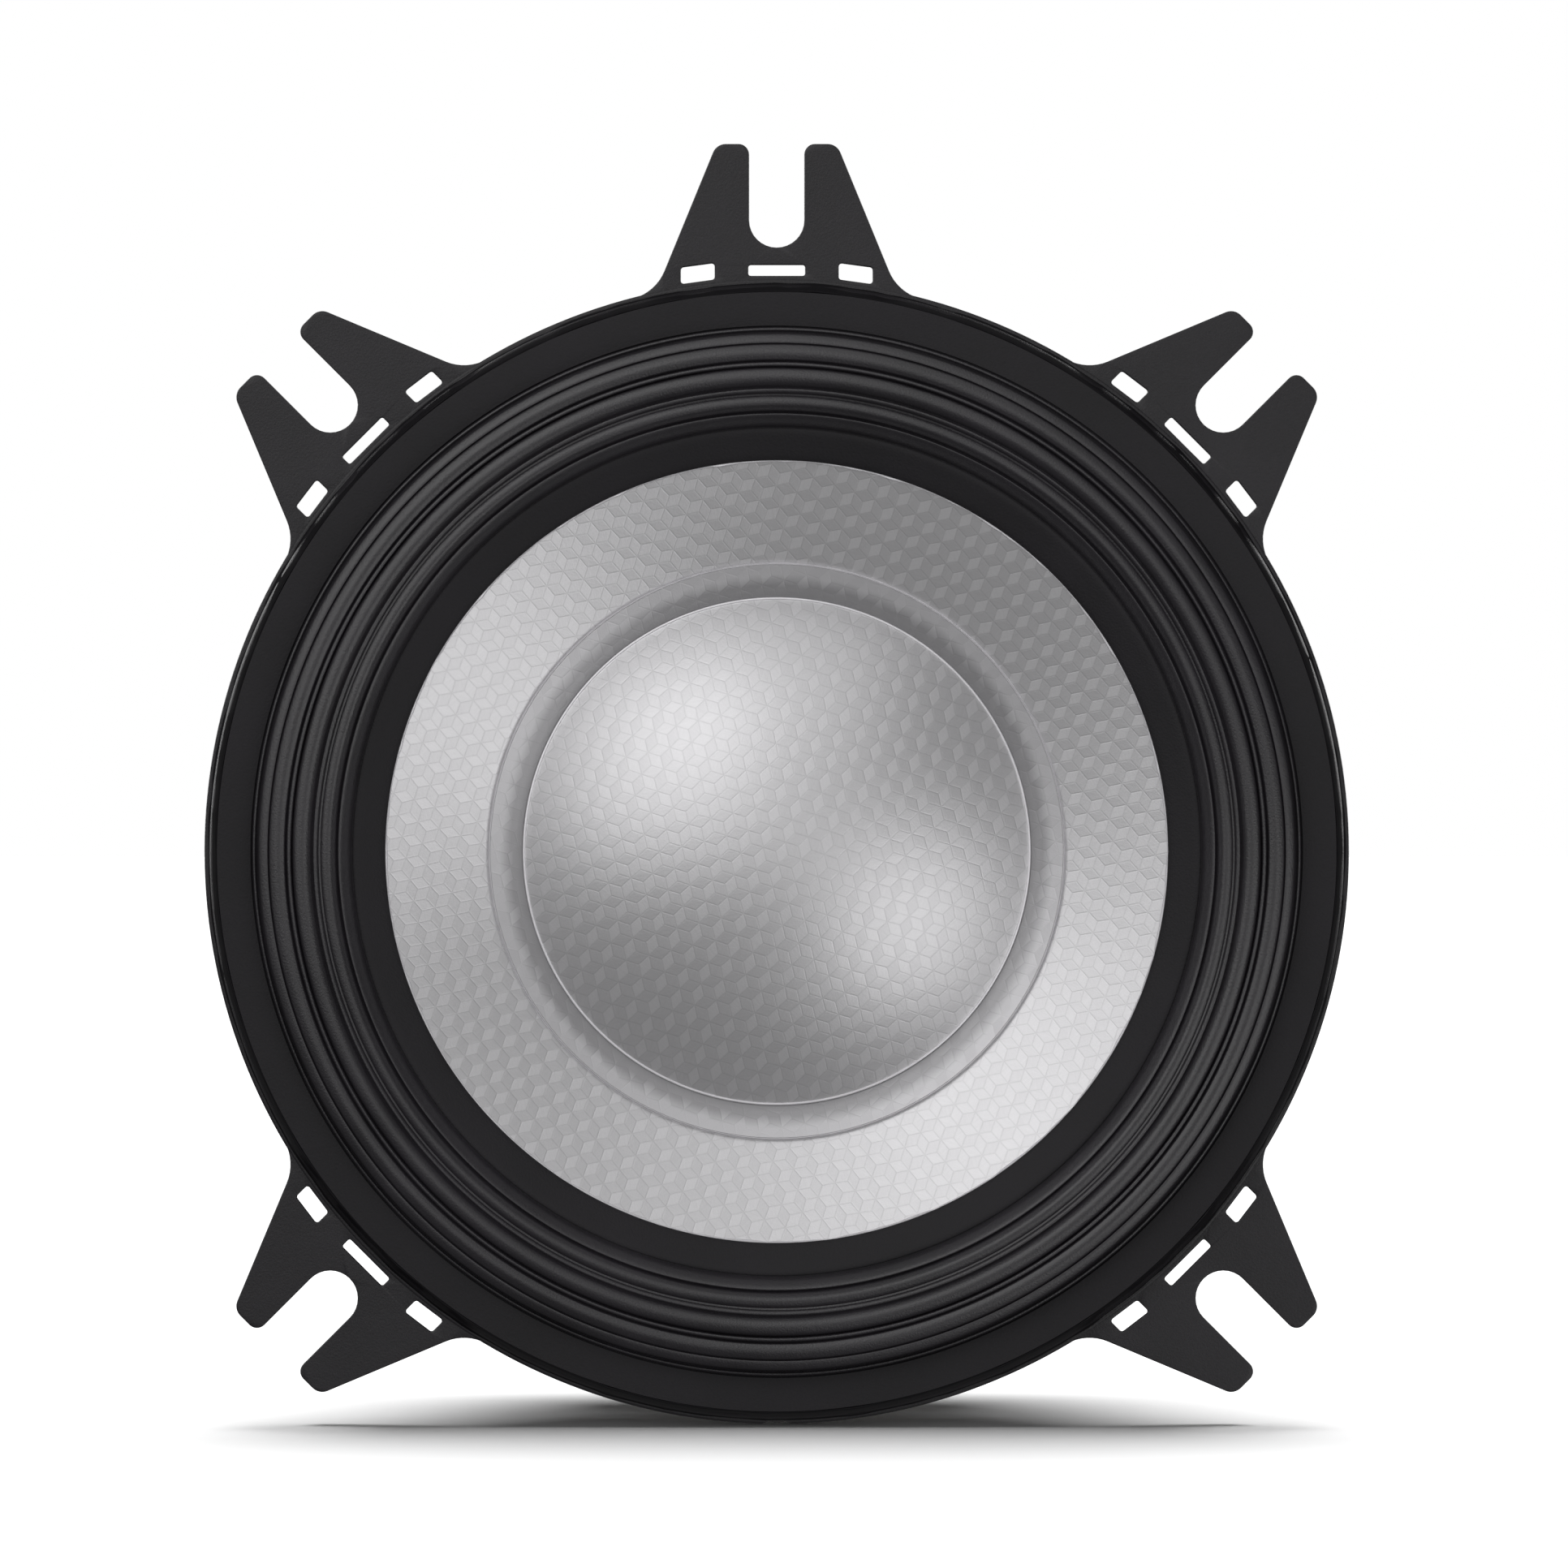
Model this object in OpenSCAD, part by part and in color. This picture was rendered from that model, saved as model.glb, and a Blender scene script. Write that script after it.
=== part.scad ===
// Ten-centimetre car loudspeaker driver: a woven cone in a rubber surround, on a stamped basket
// with five slotted ears.
// The speaker axis runs along Y and the front faces -Y, with the single top ear along +Z.
// The origin is on the axis, in the plane of the flange's back face.
// Each module is drawn with its own axis along z and its front towards +z, then turned.

/* [Flange] */
// Outer radius of the flange ring
flange_r = 51; // [50.8:0.1:51.4]
// Thickness of the basket's steel sheet
sheet_t = 1; // [0.9:0.05:1.1]
// Height of the surround's seat above the flange's front
seat_rise = 1.5; // [1.2:0.1:1.8]
// Radius of the cylinder behind the flange, which fits the panel's cut-out
pilot_r = 46.4; // [46:0.1:46.6]

/* [Ears] */
// Directions of the five ears, in degrees, with 90 at the top
ear_angles = [45, 90, 135, 225, 315];
// Distance from the speaker axis to an ear's tip
ear_tip = 63.05; // [62.5:0.05:63.5]
// Width of the open screw slot
slot_w = 4.9; // [4.5:0.1:5.2]
// Circle through the slots' closed ends
slot_pcd = 112.54; // [111.5:0.1:113]
// Radius where an ear runs into the ring
ear_fillet = 4.2; // [3.5:0.1:4.6]

/* [Cone and dust cap] */
// Outer radius of the cone
cone_r = 37.5; // [37.2:0.1:37.6]
// Thickness of the woven cone
cone_t = 0.5; // [0.4:0.05:0.6]
// Slope of the cone's straight outer part, in degrees
cone_slope = 23.5; // [22:0.5:25]
// Outer radius of the dust cap's glued flange
cap_r = 25.7; // [25:0.1:25.9]
// Radius of the dome inside that flange
dome_r = 22.66; // [22.3:0.02:22.9]
// Height of the dome above its edge
dome_rise = 7; // [6:0.1:8]

/* [Surround] */
// Inner edge of the surround's land on the cone
land_in_r = 34.83; // [34.5:0.01:35.2]
// Inner foot of the roll
roll_in_r = 37.73; // [37.6:0.01:37.9]
// Outer foot of the roll
roll_out_r = 46.6; // [46.4:0.05:46.8]
// Outer edge of the surround's land on its seat
land_out_r = 49.75; // [49.6:0.01:49.85]
// Height of the roll above the seat's land
roll_rise = 3.3; // [2.8:0.1:3.8]

/* [Motor] */
// Inner radius of the voice coil's former
former_r = 12.75; // [12.7:0.01:12.8]
// Height of the winding
winding_h = 9; // [8:0.5:10]
// Radius of the hole in the top plate
gap_r = 13.75; // [13.7:0.01:13.85]
// Outer radius of the top plate and of the back plate
plate_r = 32.5; // [32:0.1:33]
// Thickness of each plate
plate_t = 4; // [3.5:0.5:4.5]
// Outer radius of the ferrite ring
magnet_r = 35; // [34.5:0.1:36]
// Thickness of the ferrite ring
magnet_t = 10; // [9:0.5:12]
// Radius of the vent through the pole
vent_r = 4.5; // [4:0.1:5]

/* [Basket] */
// Distance from the mounting plane back to the spider's shelf
shelf_depth = 17; // [16.8:0.1:17.2]
// Distance from the mounting plane back to the top plate
plate_depth = 24; // [23.8:0.1:24.2]
// Half the angle that each of the four windows spans
window_half = 30; // [26:1:31]

/* [Terminals] */
// Distance from the middle of the board to each terminal
terminal_x = 6.5; // [6:0.1:7]
// Width of the positive blade
positive_w = 4.8; // [4.7:0.1:4.8]
// Width of the negative blade
negative_w = 2.8; // [2.8:0.1:3]

/* [Hidden] */
$fn = 144;
step_r = flange_r - 0.85;
seat_z = sheet_t + seat_rise;
wall_r = pilot_r - sheet_t / 2;
wall_foot_z = -3.8;
bowl_foot_r = 34.8;
well_r = 29.7;
shelf_mid_z = -shelf_depth - sheet_t / 2;
base_mid_z = sheet_t / 2 - plate_depth;
flange_end_z = -3;
well_end_z = -20.5;
land_t = 0.6;
ear_slope = 0.41;
ear_side = 31.23;
ear_corner_r = 1.25;
mouth_corner_r = 0.95;
root_window = [5.04, 0.98];
root_window_gap = 0.3;
side_window_w = 3;
side_window_x = 7.04;
side_window_band = [0.28, 1.75];
notch_w = 2.9;
notch_d = 0.25;
cone_straight_r = 26;
neck_r = 13.2;
neck_slope = 48;
cone_edge_z = seat_z + 0.25;
cap_t = 0.4;
cap_mid_r = 24.2;
former_t = 0.25;
winding_t = 0.35;
collar_t = neck_r - former_r - former_t;
neck_z = cone_z(neck_r);
lip_h = 1.4;
gap_z = -plate_depth - plate_t / 2;
winding_z = gap_z - winding_h / 2;
spider_mid_z = 0.25 - shelf_depth;
spider_t = 0.5;
spider_out_r = 33.4;
spider_lip_z = [-shelf_depth - 1.1, -shelf_depth + 0.8];
magnet_z = -plate_depth - plate_t - magnet_t;
back_z = magnet_z - plate_t;
pole_r = 12.1;
copper_t = 0.3;
pole_z = -plate_depth + 1;
base_hole_r = 14.3;
window_in_r = 37.4;
window_out_r = 44;
window_corner_r = 2;
rivet_ring_r = 22;
plate_rivet_r = 1.5;
rivet_sink = 2.4;
board_z = -shelf_depth - sheet_t - 0.1;
board_t = 1.6;
board_w = 21;
board_y = [-38.8, -31];
board_rivet_r = 1.2;
board_rivet_y = -36.2;
tab_w = 8;
cleared_w = 17.4;
cleared_y = [-38.5, -33.55];
blade_t = 0.8;
blade_y = [-45, -33.6];
tag_t = 0.4;
tag_w = 3.8;
tag_y = [-38.5, -33.7];
terminal_y = -37.05;
terminal_rivet_r = 0.9;
solder_y = -34.55;
solder_r = 0.8;
lead_r = 0.55;
joint_angle = 24;

// ---- Lines and sheets ----

function unit(v) = v / norm(v);
function reversed(p) = [for (i = [len(p) - 1:-1:0]) p[i]];
function left_of(p, i) = let (d = unit(p[i + 1] - p[i])) [-d[1], d[0]];

// A line shifted sideways, with its corners mitred
function beside(p, h) = [
    for (i = [0:len(p) - 1])
    let (a = left_of(p, max(i - 1, 0)), b = left_of(p, min(i, len(p) - 2)))
    p[i] + h * (a + b) / (1 + a * b)
];

// The corner at b of the line a, b, c, as an arc of radius r
function arc_corner(a, b, c, r, n = 4) =
    let (
        u = unit(a - b), w = unit(c - b), half = acos(u * w) / 2,
        centre = b + unit(u + w) * r / sin(half),
        first = b + u * r / tan(half) - centre,
        last = b + w * r / tan(half) - centre,
        turn = (first[0] * last[1] - first[1] * last[0] > 0 ? 1 : -1) * (180 - 2 * half)
    )
    [for (i = [0:n]) centre + turned(first, turn * i / n)];
function turned(v, a) = [v[0] * cos(a) - v[1] * sin(a), v[0] * sin(a) + v[1] * cos(a)];

// A line through points [r, z, corner radius]
function bent(p) = [
    for (i = [0:len(p) - 1])
    let (b = [p[i][0], p[i][1]])
    each p[i][2] == 0 ? [b]
        : arc_corner([p[i - 1][0], p[i - 1][1]], b, [p[i + 1][0], p[i + 1][1]], p[i][2])
];

// A turned sheet of thickness t, with the line in its middle
module turned_sheet(line, t) {
    rotate_extrude()
        polygon(concat(beside(line, t / 2), reversed(beside(line, -t / 2))));
}

module ring(r_in, r_out, z, h) {
    rotate_extrude() translate([r_in, z]) square([r_out - r_in, h]);
}

module face_front() {
    rotate([90, 0, 0]) children();
}

// ---- Shapes of the moving parts ----

// Height of the cone's front face: straight outside, and steeper towards the neck
function cone_z(r) =
    let (
        edge = tan(cone_slope), gain = tan(neck_slope) - edge,
        run = cone_straight_r - neck_r, in = cone_straight_r - r
    )
    cone_edge_z - edge * (cone_r - r) - (in > 0 ? gain * in * in / (2 * run) : 0);

glue_r = 14.8;
straight_radii = [cone_r, land_in_r, cone_straight_r, cap_r, cap_mid_r];
curved_radii = [dome_r, 20.5, 18.4, 16.5, glue_r, neck_r];
cone_front = [for (r = concat(straight_radii, curved_radii)) [r, cone_z(r)]];

// Height of the middle of the surround's roll above the line between its feet
function roll_z(s) = roll_rise * pow(sin(180 * s), 0.8);

// ---- Basket ----

// The turned sheet's middle line, in three lengths from the ears' tips to the hole at the back
flange_line = bent([
    [ear_tip + 2, sheet_t / 2, 0],
    [step_r, sheet_t / 2, 0.6],
    [step_r - 0.25, seat_z - sheet_t / 2, 0.6],
    [wall_r, seat_z - sheet_t / 2, 0.7],
    [wall_r, flange_end_z, 0]
]);
bowl_line = bent([
    [wall_r, flange_end_z, 0],
    [wall_r, wall_foot_z, 1.5],
    [bowl_foot_r, shelf_mid_z, 0.8],
    [well_r, shelf_mid_z, 0.8],
    [well_r, well_end_z, 0]
]);
base_line = bent([
    [well_r, well_end_z, 0],
    [well_r, base_mid_z, 0.8],
    [base_hole_r, base_mid_z, 0]
]);

// Outline of an ear with its open mouth: each half runs from the ring up the straight side,
// round the tip's outer corner and round the mouth's corner into the slot
module ear_outline() {
    q = 1 + ear_slope * ear_slope;
    root_v = (ear_slope * ear_side + sqrt(q * flange_r * flange_r - ear_side * ear_side)) / q;
    root = [ear_side - ear_slope * root_v, root_v];
    half = slot_w / 2;
    side = bent([
        [10, 46, 0],
        [each turned(root, -3.6) * 0.992, 0],
        [each turned(root, -3.6), 0],
        [each root, ear_fillet],
        [ear_side - ear_slope * ear_tip, ear_tip, ear_corner_r],
        [half, ear_tip, mouth_corner_r],
        [half, slot_pcd / 2 + 1, 0]
    ]);
    polygon(concat(side, [for (p = reversed(side)) [-p[0], p[1]]]));
}

// The slot's closed end
module ear_slot() {
    translate([0, slot_pcd / 2]) circle(slot_w / 2);
    translate([-slot_w / 2, slot_pcd / 2]) square([slot_w, 3]);
}

// The three lightening windows at an ear's root
module ear_windows() {
    translate([-root_window[0] / 2, flange_r + root_window_gap]) square(root_window);
    for (side = [-1, 1])
        intersection() {
            difference() {
                circle(flange_r + side_window_band[1]);
                circle(flange_r + side_window_band[0]);
            }
            translate([side * side_window_x - side_window_w / 2, flange_r - 3])
                square([side_window_w, 8]);
        }
}

// What is punched away from the flat blank outside the ring and the ears, and inside the ears
module flange_waste() {
    difference() {
        circle(ear_tip + 6);
        circle(flange_r);
        for (a = ear_angles) rotate(a - 90) ear_outline();
    }
    for (a = ear_angles) rotate(a - 90) {
        ear_slot();
        ear_windows();
    }
    translate([-notch_w / 2, -flange_r - 1]) square([notch_w, 1 + notch_d]);
}

// A window of the bowl, seen along the axis: a ring sector with rounded corners
module bowl_window() {
    rc = window_corner_r;
    lean_in = asin(rc / (window_in_r + rc));
    lean_out = asin(rc / (window_out_r - rc));
    sector(window_in_r + rc, window_out_r - rc, window_half);
    sector(window_in_r, window_in_r + rc + 0.1, window_half - lean_in);
    sector(window_out_r - rc - 0.1, window_out_r, window_half - lean_out);
    for (side = [-1, 1]) {
        rotate(side * (window_half - lean_in)) translate([window_in_r + rc, 0]) circle(rc, $fn = 48);
        rotate(side * (window_half - lean_out)) translate([window_out_r - rc, 0]) circle(rc, $fn = 48);
    }
}

module sector(r_in, r_out, half) {
    far = 2 * r_out;
    intersection() {
        difference() {
            circle(r_out);
            circle(r_in);
        }
        polygon([[0, 0], far * [cos(half), -sin(half)], far * [1, 0], far * [cos(half), sin(half)]]);
    }
}

// The plate with its ears, the step up to the surround's seat and the wall behind it
module basket_flange() {
    color("#2b292c") face_front() difference() {
        turned_sheet(flange_line, sheet_t);
        translate([0, 0, -1]) linear_extrude(sheet_t + 2) flange_waste();
    }
}

// The bowl with its four windows, the spider's shelf, and the tab that holds the terminal board
module basket_bowl() {
    color("#2b292c") face_front() difference() {
        union() {
            difference() {
                turned_sheet(bowl_line, sheet_t);
                translate([-cleared_w / 2, cleared_y[0], board_z - 1])
                    cube([cleared_w, cleared_y[1] - cleared_y[0], sheet_t + 5]);
            }
            translate([-tab_w / 2, board_y[0], board_z])
                cube([tab_w, cleared_y[1] + 1 - board_y[0], sheet_t]);
        }
        for (a = [0:90:270]) rotate(a)
            translate([0, 0, 0.2 - shelf_depth]) linear_extrude(shelf_depth - 1.2) bowl_window();
        translate([0, board_rivet_y, board_z - 1])
            cylinder(r = board_rivet_r + 0.05, h = 3, $fn = 48);
    }
}

// The well behind the shelf, and the plate that is riveted to the motor
module basket_base() {
    color("#2b292c") face_front() difference() {
        turned_sheet(base_line, sheet_t);
        for (a = [45:90:315]) rotate(a) translate([rivet_ring_r, 0, -plate_depth - 1])
            cylinder(r = plate_rivet_r + 0.05, h = 3, $fn = 48);
    }
}

// ---- Cone, surround and dust cap ----

module cone() {
    back = [for (p = reversed(cone_front)) if (p[0] > neck_r + cone_t) p - [0, cone_t * 1.15]];
    color("#c0bec1") face_front() rotate_extrude()
        polygon(concat(
            cone_front,
            [[neck_r, neck_z - lip_h], [neck_r + cone_t, neck_z - lip_h],
                [neck_r + cone_t, cone_z(neck_r + cone_t) - 1.3 * cone_t]],
            back
        ));
}

module surround() {
    foot_z = cone_z(roll_in_r) + land_t / 2;
    out_z = seat_z + land_t / 2;
    roll = [
        for (i = [1:19])
        let (s = i / 20)
        [roll_in_r + s * (roll_out_r - roll_in_r), foot_z + s * (out_z - foot_z) + roll_z(s)]
    ];
    top = concat(
        [[land_in_r, cone_z(land_in_r) + land_t], [roll_in_r - 0.6, cone_z(roll_in_r - 0.6) + land_t]],
        beside(roll, land_t / 2),
        [[roll_out_r + 0.3, seat_z + land_t], [land_out_r, seat_z + land_t]]
    );
    under = concat(
        [[land_in_r, cone_z(land_in_r)], [cone_r, cone_edge_z]],
        beside(roll, -land_t / 2),
        [[roll_out_r + 0.3, seat_z], [land_out_r, seat_z]]
    );
    color("#242225") face_front() rotate_extrude() polygon(concat(top, reversed(under)));
}

module dust_cap() {
    base_z = cone_z(dome_r) + cap_t;
    ball_r = (dome_r * dome_r + dome_rise * dome_rise) / (2 * dome_rise);
    half = asin(dome_r / ball_r);
    centre_z = base_z + dome_rise - ball_r;
    dome = [
        for (i = [0:14])
        let (a = half * (1 - i / 14))
        [ball_r * sin(a), centre_z + ball_r * cos(a)]
    ];
    inner = [
        for (i = [1:14])
        let (a = half * (1 - i / 14))
        [(ball_r - cap_t) * sin(a), centre_z + (ball_r - cap_t) * cos(a)]
    ];
    color("#c0bec1") face_front() rotate_extrude()
        polygon(concat(
            [for (r = [cap_r, cap_mid_r]) [r, cone_z(r) + cap_t]],
            dome, reversed(inner),
            [for (r = [dome_r, cap_mid_r, cap_r]) [r, cone_z(r)]]
        ));
}

module cap_glue_bead() {
    z = cone_z(cap_r);
    color("#8f8d90") face_front() rotate_extrude()
        polygon([[cap_r, z], [cap_r, z + 0.35], [cap_r + 0.3, cone_z(cap_r + 0.3)]]);
}

module neck_glue() {
    color("#3a3532") face_front() rotate_extrude()
        polygon([
            [neck_r, neck_z], [neck_r - 0.45, neck_z], [neck_r - 0.3, neck_z + 0.6],
            [neck_r + 0.2, neck_z + 0.9], [glue_r, cone_z(glue_r)]
        ]);
}

// ---- Voice coil and spider ----

module voice_coil_former() {
    color("#a9a69f") face_front()
        ring(former_r, former_r + former_t, winding_z - 0.5, neck_z - winding_z + 0.5);
}

module voice_coil_winding() {
    color("#a5602f") face_front()
        ring(former_r + former_t, former_r + former_t + winding_t, winding_z, winding_h);
}

module coil_collar() {
    bottom = winding_z + winding_h + 0.8;
    color("#8a6b42") face_front() ring(former_r + former_t, neck_r, bottom, neck_z - bottom);
}

module spider() {
    waves = 6;
    wave_in = neck_r + 1.1;
    wave_out = 29.6;
    steps = 48;
    line = concat(
        [for (i = [0:steps])
            [wave_in + (wave_out - wave_in) * i / steps,
                spider_mid_z + 0.9 * sin(360 * waves * i / steps) * min(1, 4 * (1 - i / steps))]],
        [[spider_out_r, spider_mid_z]]
    );
    color("#b58a3c") face_front() rotate_extrude()
        polygon(concat(
            [[neck_r, spider_lip_z[0]], [neck_r, spider_lip_z[1]],
                [neck_r + 0.5, spider_lip_z[1]], [neck_r + 0.6, spider_mid_z + spider_t / 2]],
            beside(line, spider_t / 2),
            reversed(beside(line, -spider_t / 2)),
            [[neck_r + 0.6, spider_mid_z - spider_t / 2], [neck_r + 0.5, spider_lip_z[0]]]
        ));
}

// ---- Motor ----

// A turned plate whose outer edges are chamfered
module edged_ring(r_in, r_out, z, h, c) {
    rotate_extrude() polygon([
        [r_in, z], [r_out - c, z], [r_out, z + c], [r_out, z + h - c], [r_out - c, z + h], [r_in, z + h]
    ]);
}

module top_plate() {
    color("#8b8d90") face_front() difference() {
        edged_ring(gap_r, plate_r, -plate_depth - plate_t, plate_t, 0.4);
        for (a = [45:90:315]) rotate(a)
            translate([rivet_ring_r, 0, -plate_depth - rivet_sink])
                cylinder(r = plate_rivet_r + 0.05, h = 4, $fn = 48);
    }
}

module magnet() {
    color("#3b3b3d") face_front() edged_ring(gap_r + 3, magnet_r, magnet_z, magnet_t, 0.8);
}

module yoke() {
    screen_r = vent_r + 3;
    color("#8b8d90") face_front() difference() {
        rotate_extrude() polygon([
            [vent_r, back_z], [plate_r - 1, back_z], [plate_r, back_z + 1], [plate_r, magnet_z - 0.4],
            [plate_r - 0.4, magnet_z], [pole_r + 0.6, magnet_z], [pole_r, magnet_z + 0.6],
            [pole_r, pole_z], [vent_r, pole_z]
        ]);
        translate([0, 0, back_z - 1]) cylinder(r = screen_r, h = 2.2);
    }
}

module copper_cap() {
    inner = pole_r + 0.02;
    color("#b4693a") face_front() rotate_extrude() polygon([
        [inner, pole_z - 8], [pole_r + copper_t, pole_z - 8], [pole_r + copper_t, pole_z + copper_t],
        [vent_r + 0.5, pole_z + copper_t], [vent_r + 0.5, pole_z], [inner, pole_z]
    ]);
}

module vent_screen() {
    pitch = 1.9;
    color("#55565a") face_front() difference() {
        translate([0, 0, back_z + 0.8]) cylinder(r = vent_r + 2.9, h = 0.4);
        for (i = [-3:3], j = [-3:3])
            let (p = pitch * [i + j / 2, j * sin(60)])
            if (norm(p) < vent_r + 1.6)
                translate([p[0], p[1], back_z]) cylinder(r = 0.65, h = 2, $fn = 24);
    }
}

module plate_rivets() {
    low = -plate_depth - rivet_sink;
    high = sheet_t - plate_depth;
    color("#77797c") face_front() for (a = [45:90:315]) rotate(a) translate([rivet_ring_r, 0, 0])
        rotate_extrude($fn = 48) polygon([
            [0, low], [plate_rivet_r, low], [plate_rivet_r, high], [1.6 * plate_rivet_r, high],
            [1.45 * plate_rivet_r, high + 0.45], [plate_rivet_r, high + 0.75], [0, high + 0.8]
        ]);
}

// ---- Terminals and leads ----

module terminal_board() {
    color("#4a3626") face_front() difference() {
        translate([-board_w / 2, board_y[0], board_z - board_t])
            cube([board_w, board_y[1] - board_y[0], board_t]);
        for (side = [-1, 1]) translate([side * terminal_x, terminal_y, board_z - 3])
            cylinder(r = terminal_rivet_r + 0.05, h = 5, $fn = 48);
        translate([0, board_rivet_y, board_z - 3])
            cylinder(r = board_rivet_r + 0.05, h = 5, $fn = 48);
    }
}

// A blade whose outer end is tapered and has a latch hole
module blade(x, w) {
    top = board_z - board_t - blade_t;
    tip = blade_y[0];
    taper = 0.6;
    difference() {
        translate([x, 0, top]) linear_extrude(blade_t) polygon([
            [-w / 2, blade_y[1]], [-w / 2, tip + 1], [taper - w / 2, tip], [w / 2 - taper, tip],
            [w / 2, tip + 1], [w / 2, blade_y[1]]
        ]);
        translate([x, terminal_y, top - 1]) cylinder(r = terminal_rivet_r + 0.05, h = 3, $fn = 48);
        translate([x, tip + 3.2, top - 1]) cylinder(r = 0.65, h = 3, $fn = 48);
    }
}

module terminal_positive() {
    color("#c9c3b2") face_front() blade(terminal_x, positive_w);
}

module terminal_negative() {
    color("#c9c3b2") face_front() blade(-terminal_x, negative_w);
}

module solder_tags() {
    color("#c9c3b2") face_front() for (x = [-terminal_x, terminal_x]) difference() {
        translate([x - tag_w / 2, tag_y[0], board_z]) cube([tag_w, tag_y[1] - tag_y[0], tag_t]);
        translate([x, terminal_y, board_z - 1]) cylinder(r = terminal_rivet_r + 0.05, h = 3, $fn = 48);
    }
}

// A rivet along z from low to high, with a head at each end
module rivet(r, low, high, head) {
    rotate_extrude($fn = 48) polygon([
        [0, low - head], [1.5 * r, low - head], [1.8 * r, low], [r, low],
        [r, high], [1.8 * r, high], [1.5 * r, high + head], [0, high + head]
    ]);
}

module terminal_rivets() {
    color("#b9b4a6") face_front() for (x = [-terminal_x, terminal_x])
        translate([x, terminal_y, 0])
            rivet(terminal_rivet_r, board_z - board_t - blade_t, board_z + tag_t, 0.5);
}

module board_rivet() {
    color("#77797c") face_front() translate([0, board_rivet_y, 0])
        rivet(board_rivet_r, board_z - board_t, board_z + sheet_t, 0.6);
}

module terminal_solder() {
    color("#b8bcc0") face_front() for (x = [-terminal_x, terminal_x])
        translate([x, solder_y, board_z + tag_t]) intersection() {
            sphere(solder_r, $fn = 32);
            translate([-2, -2, 0]) cube(4);
        }
}

// A lead's route from its tag, out through the window's mouth and back to the coil's collar
function lead_route(side) = [
    for (p = [
        [6.5, -34.55, -17], [6.6, -34.8, -15.6], [6.8, -34.3, -13.6], [7.1, -33, -11.6], [7.5, -30.6, -10],
        [7.9, -27.4, -9.3], [8.1, -24, -9.5], [8, -20.8, -10.7], [7.4, -18, -12.4],
        [6.4, -15.6, -13.9], [5.8, -13.4, -14.7]
    ])
    [side * p[0], p[1], p[2]]
];

function lead_tangent(p, i) = unit(p[min(i + 1, len(p) - 1)] - p[max(i - 1, 0)]);

// A point of the smooth curve through the route, between points i and i + 1
function on_route(p, i, t) =
    let (
        a = p[max(i - 1, 0)], b = p[i], c = p[i + 1], d = p[min(i + 2, len(p) - 1)]
    )
    0.5 * (2 * b + (c - a) * t + (2 * a - 5 * b + 4 * c - d) * t * t + (3 * b - a - 3 * c + d) * t * t * t);

function smooth_route(p) = concat(
    [for (i = [0:len(p) - 2], k = [0:1]) on_route(p, i, k / 2)],
    [p[len(p) - 1]]
);

// A round tube along a line in space
module tube(p, r, sides = 8) {
    rings = [
        for (i = [0:len(p) - 1])
        let (t = lead_tangent(p, i), a = unit(cross(t, [1, 0, 0])), b = cross(t, a))
        for (k = [0:sides - 1]) p[i] + r * (a * cos(360 * k / sides) + b * sin(360 * k / sides))
    ];
    last = len(p) - 1;
    polyhedron(rings, concat(
        [[for (k = [sides - 1:-1:0]) k]],
        [[for (k = [0:sides - 1]) last * sides + k]],
        [for (i = [0:last - 1], k = [0:sides - 1])
            let (n = (k + 1) % sides)
            [i * sides + k, i * sides + n, (i + 1) * sides + n, (i + 1) * sides + k]]
    ));
}

module lead_positive() {
    color("#8c6a4f") face_front() tube(smooth_route(lead_route(1)), lead_r);
}

module lead_negative() {
    color("#8c6a4f") face_front() tube(smooth_route(lead_route(-1)), lead_r);
}

// The soldered ends of the coil, under a dab of glue on the collar
module lead_joints() {
    color("#b8bcc0") face_front() for (side = [-1, 1]) rotate(-90 + side * joint_angle) difference() {
        translate([neck_r, 0, neck_z - lip_h - 1.1]) sphere(0.8, $fn = 32);
        translate([0, 0, neck_z - lip_h - 3]) cylinder(r = neck_r, h = 4);
    }
}

basket_flange();
basket_bowl();
basket_base();
surround();
cone();
dust_cap();
cap_glue_bead();
neck_glue();
voice_coil_former();
voice_coil_winding();
coil_collar();
spider();
top_plate();
magnet();
yoke();
copper_cap();
vent_screen();
plate_rivets();
terminal_board();
terminal_positive();
terminal_negative();
solder_tags();
terminal_rivets();
board_rivet();
terminal_solder();
lead_positive();
lead_negative();
lead_joints();
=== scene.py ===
"""Builds the finished pieces of a ten-centimetre car speaker driver round its packed frame.

Lengths in the code are millimetres until they reach Blender. A profile is a list of [radius, height]
points, where height is measured along the speaker's axis towards the listener, so [r, z] lies at
Blender's (r, -z, 0) before it is spun about Y.
"""
import math

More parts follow.
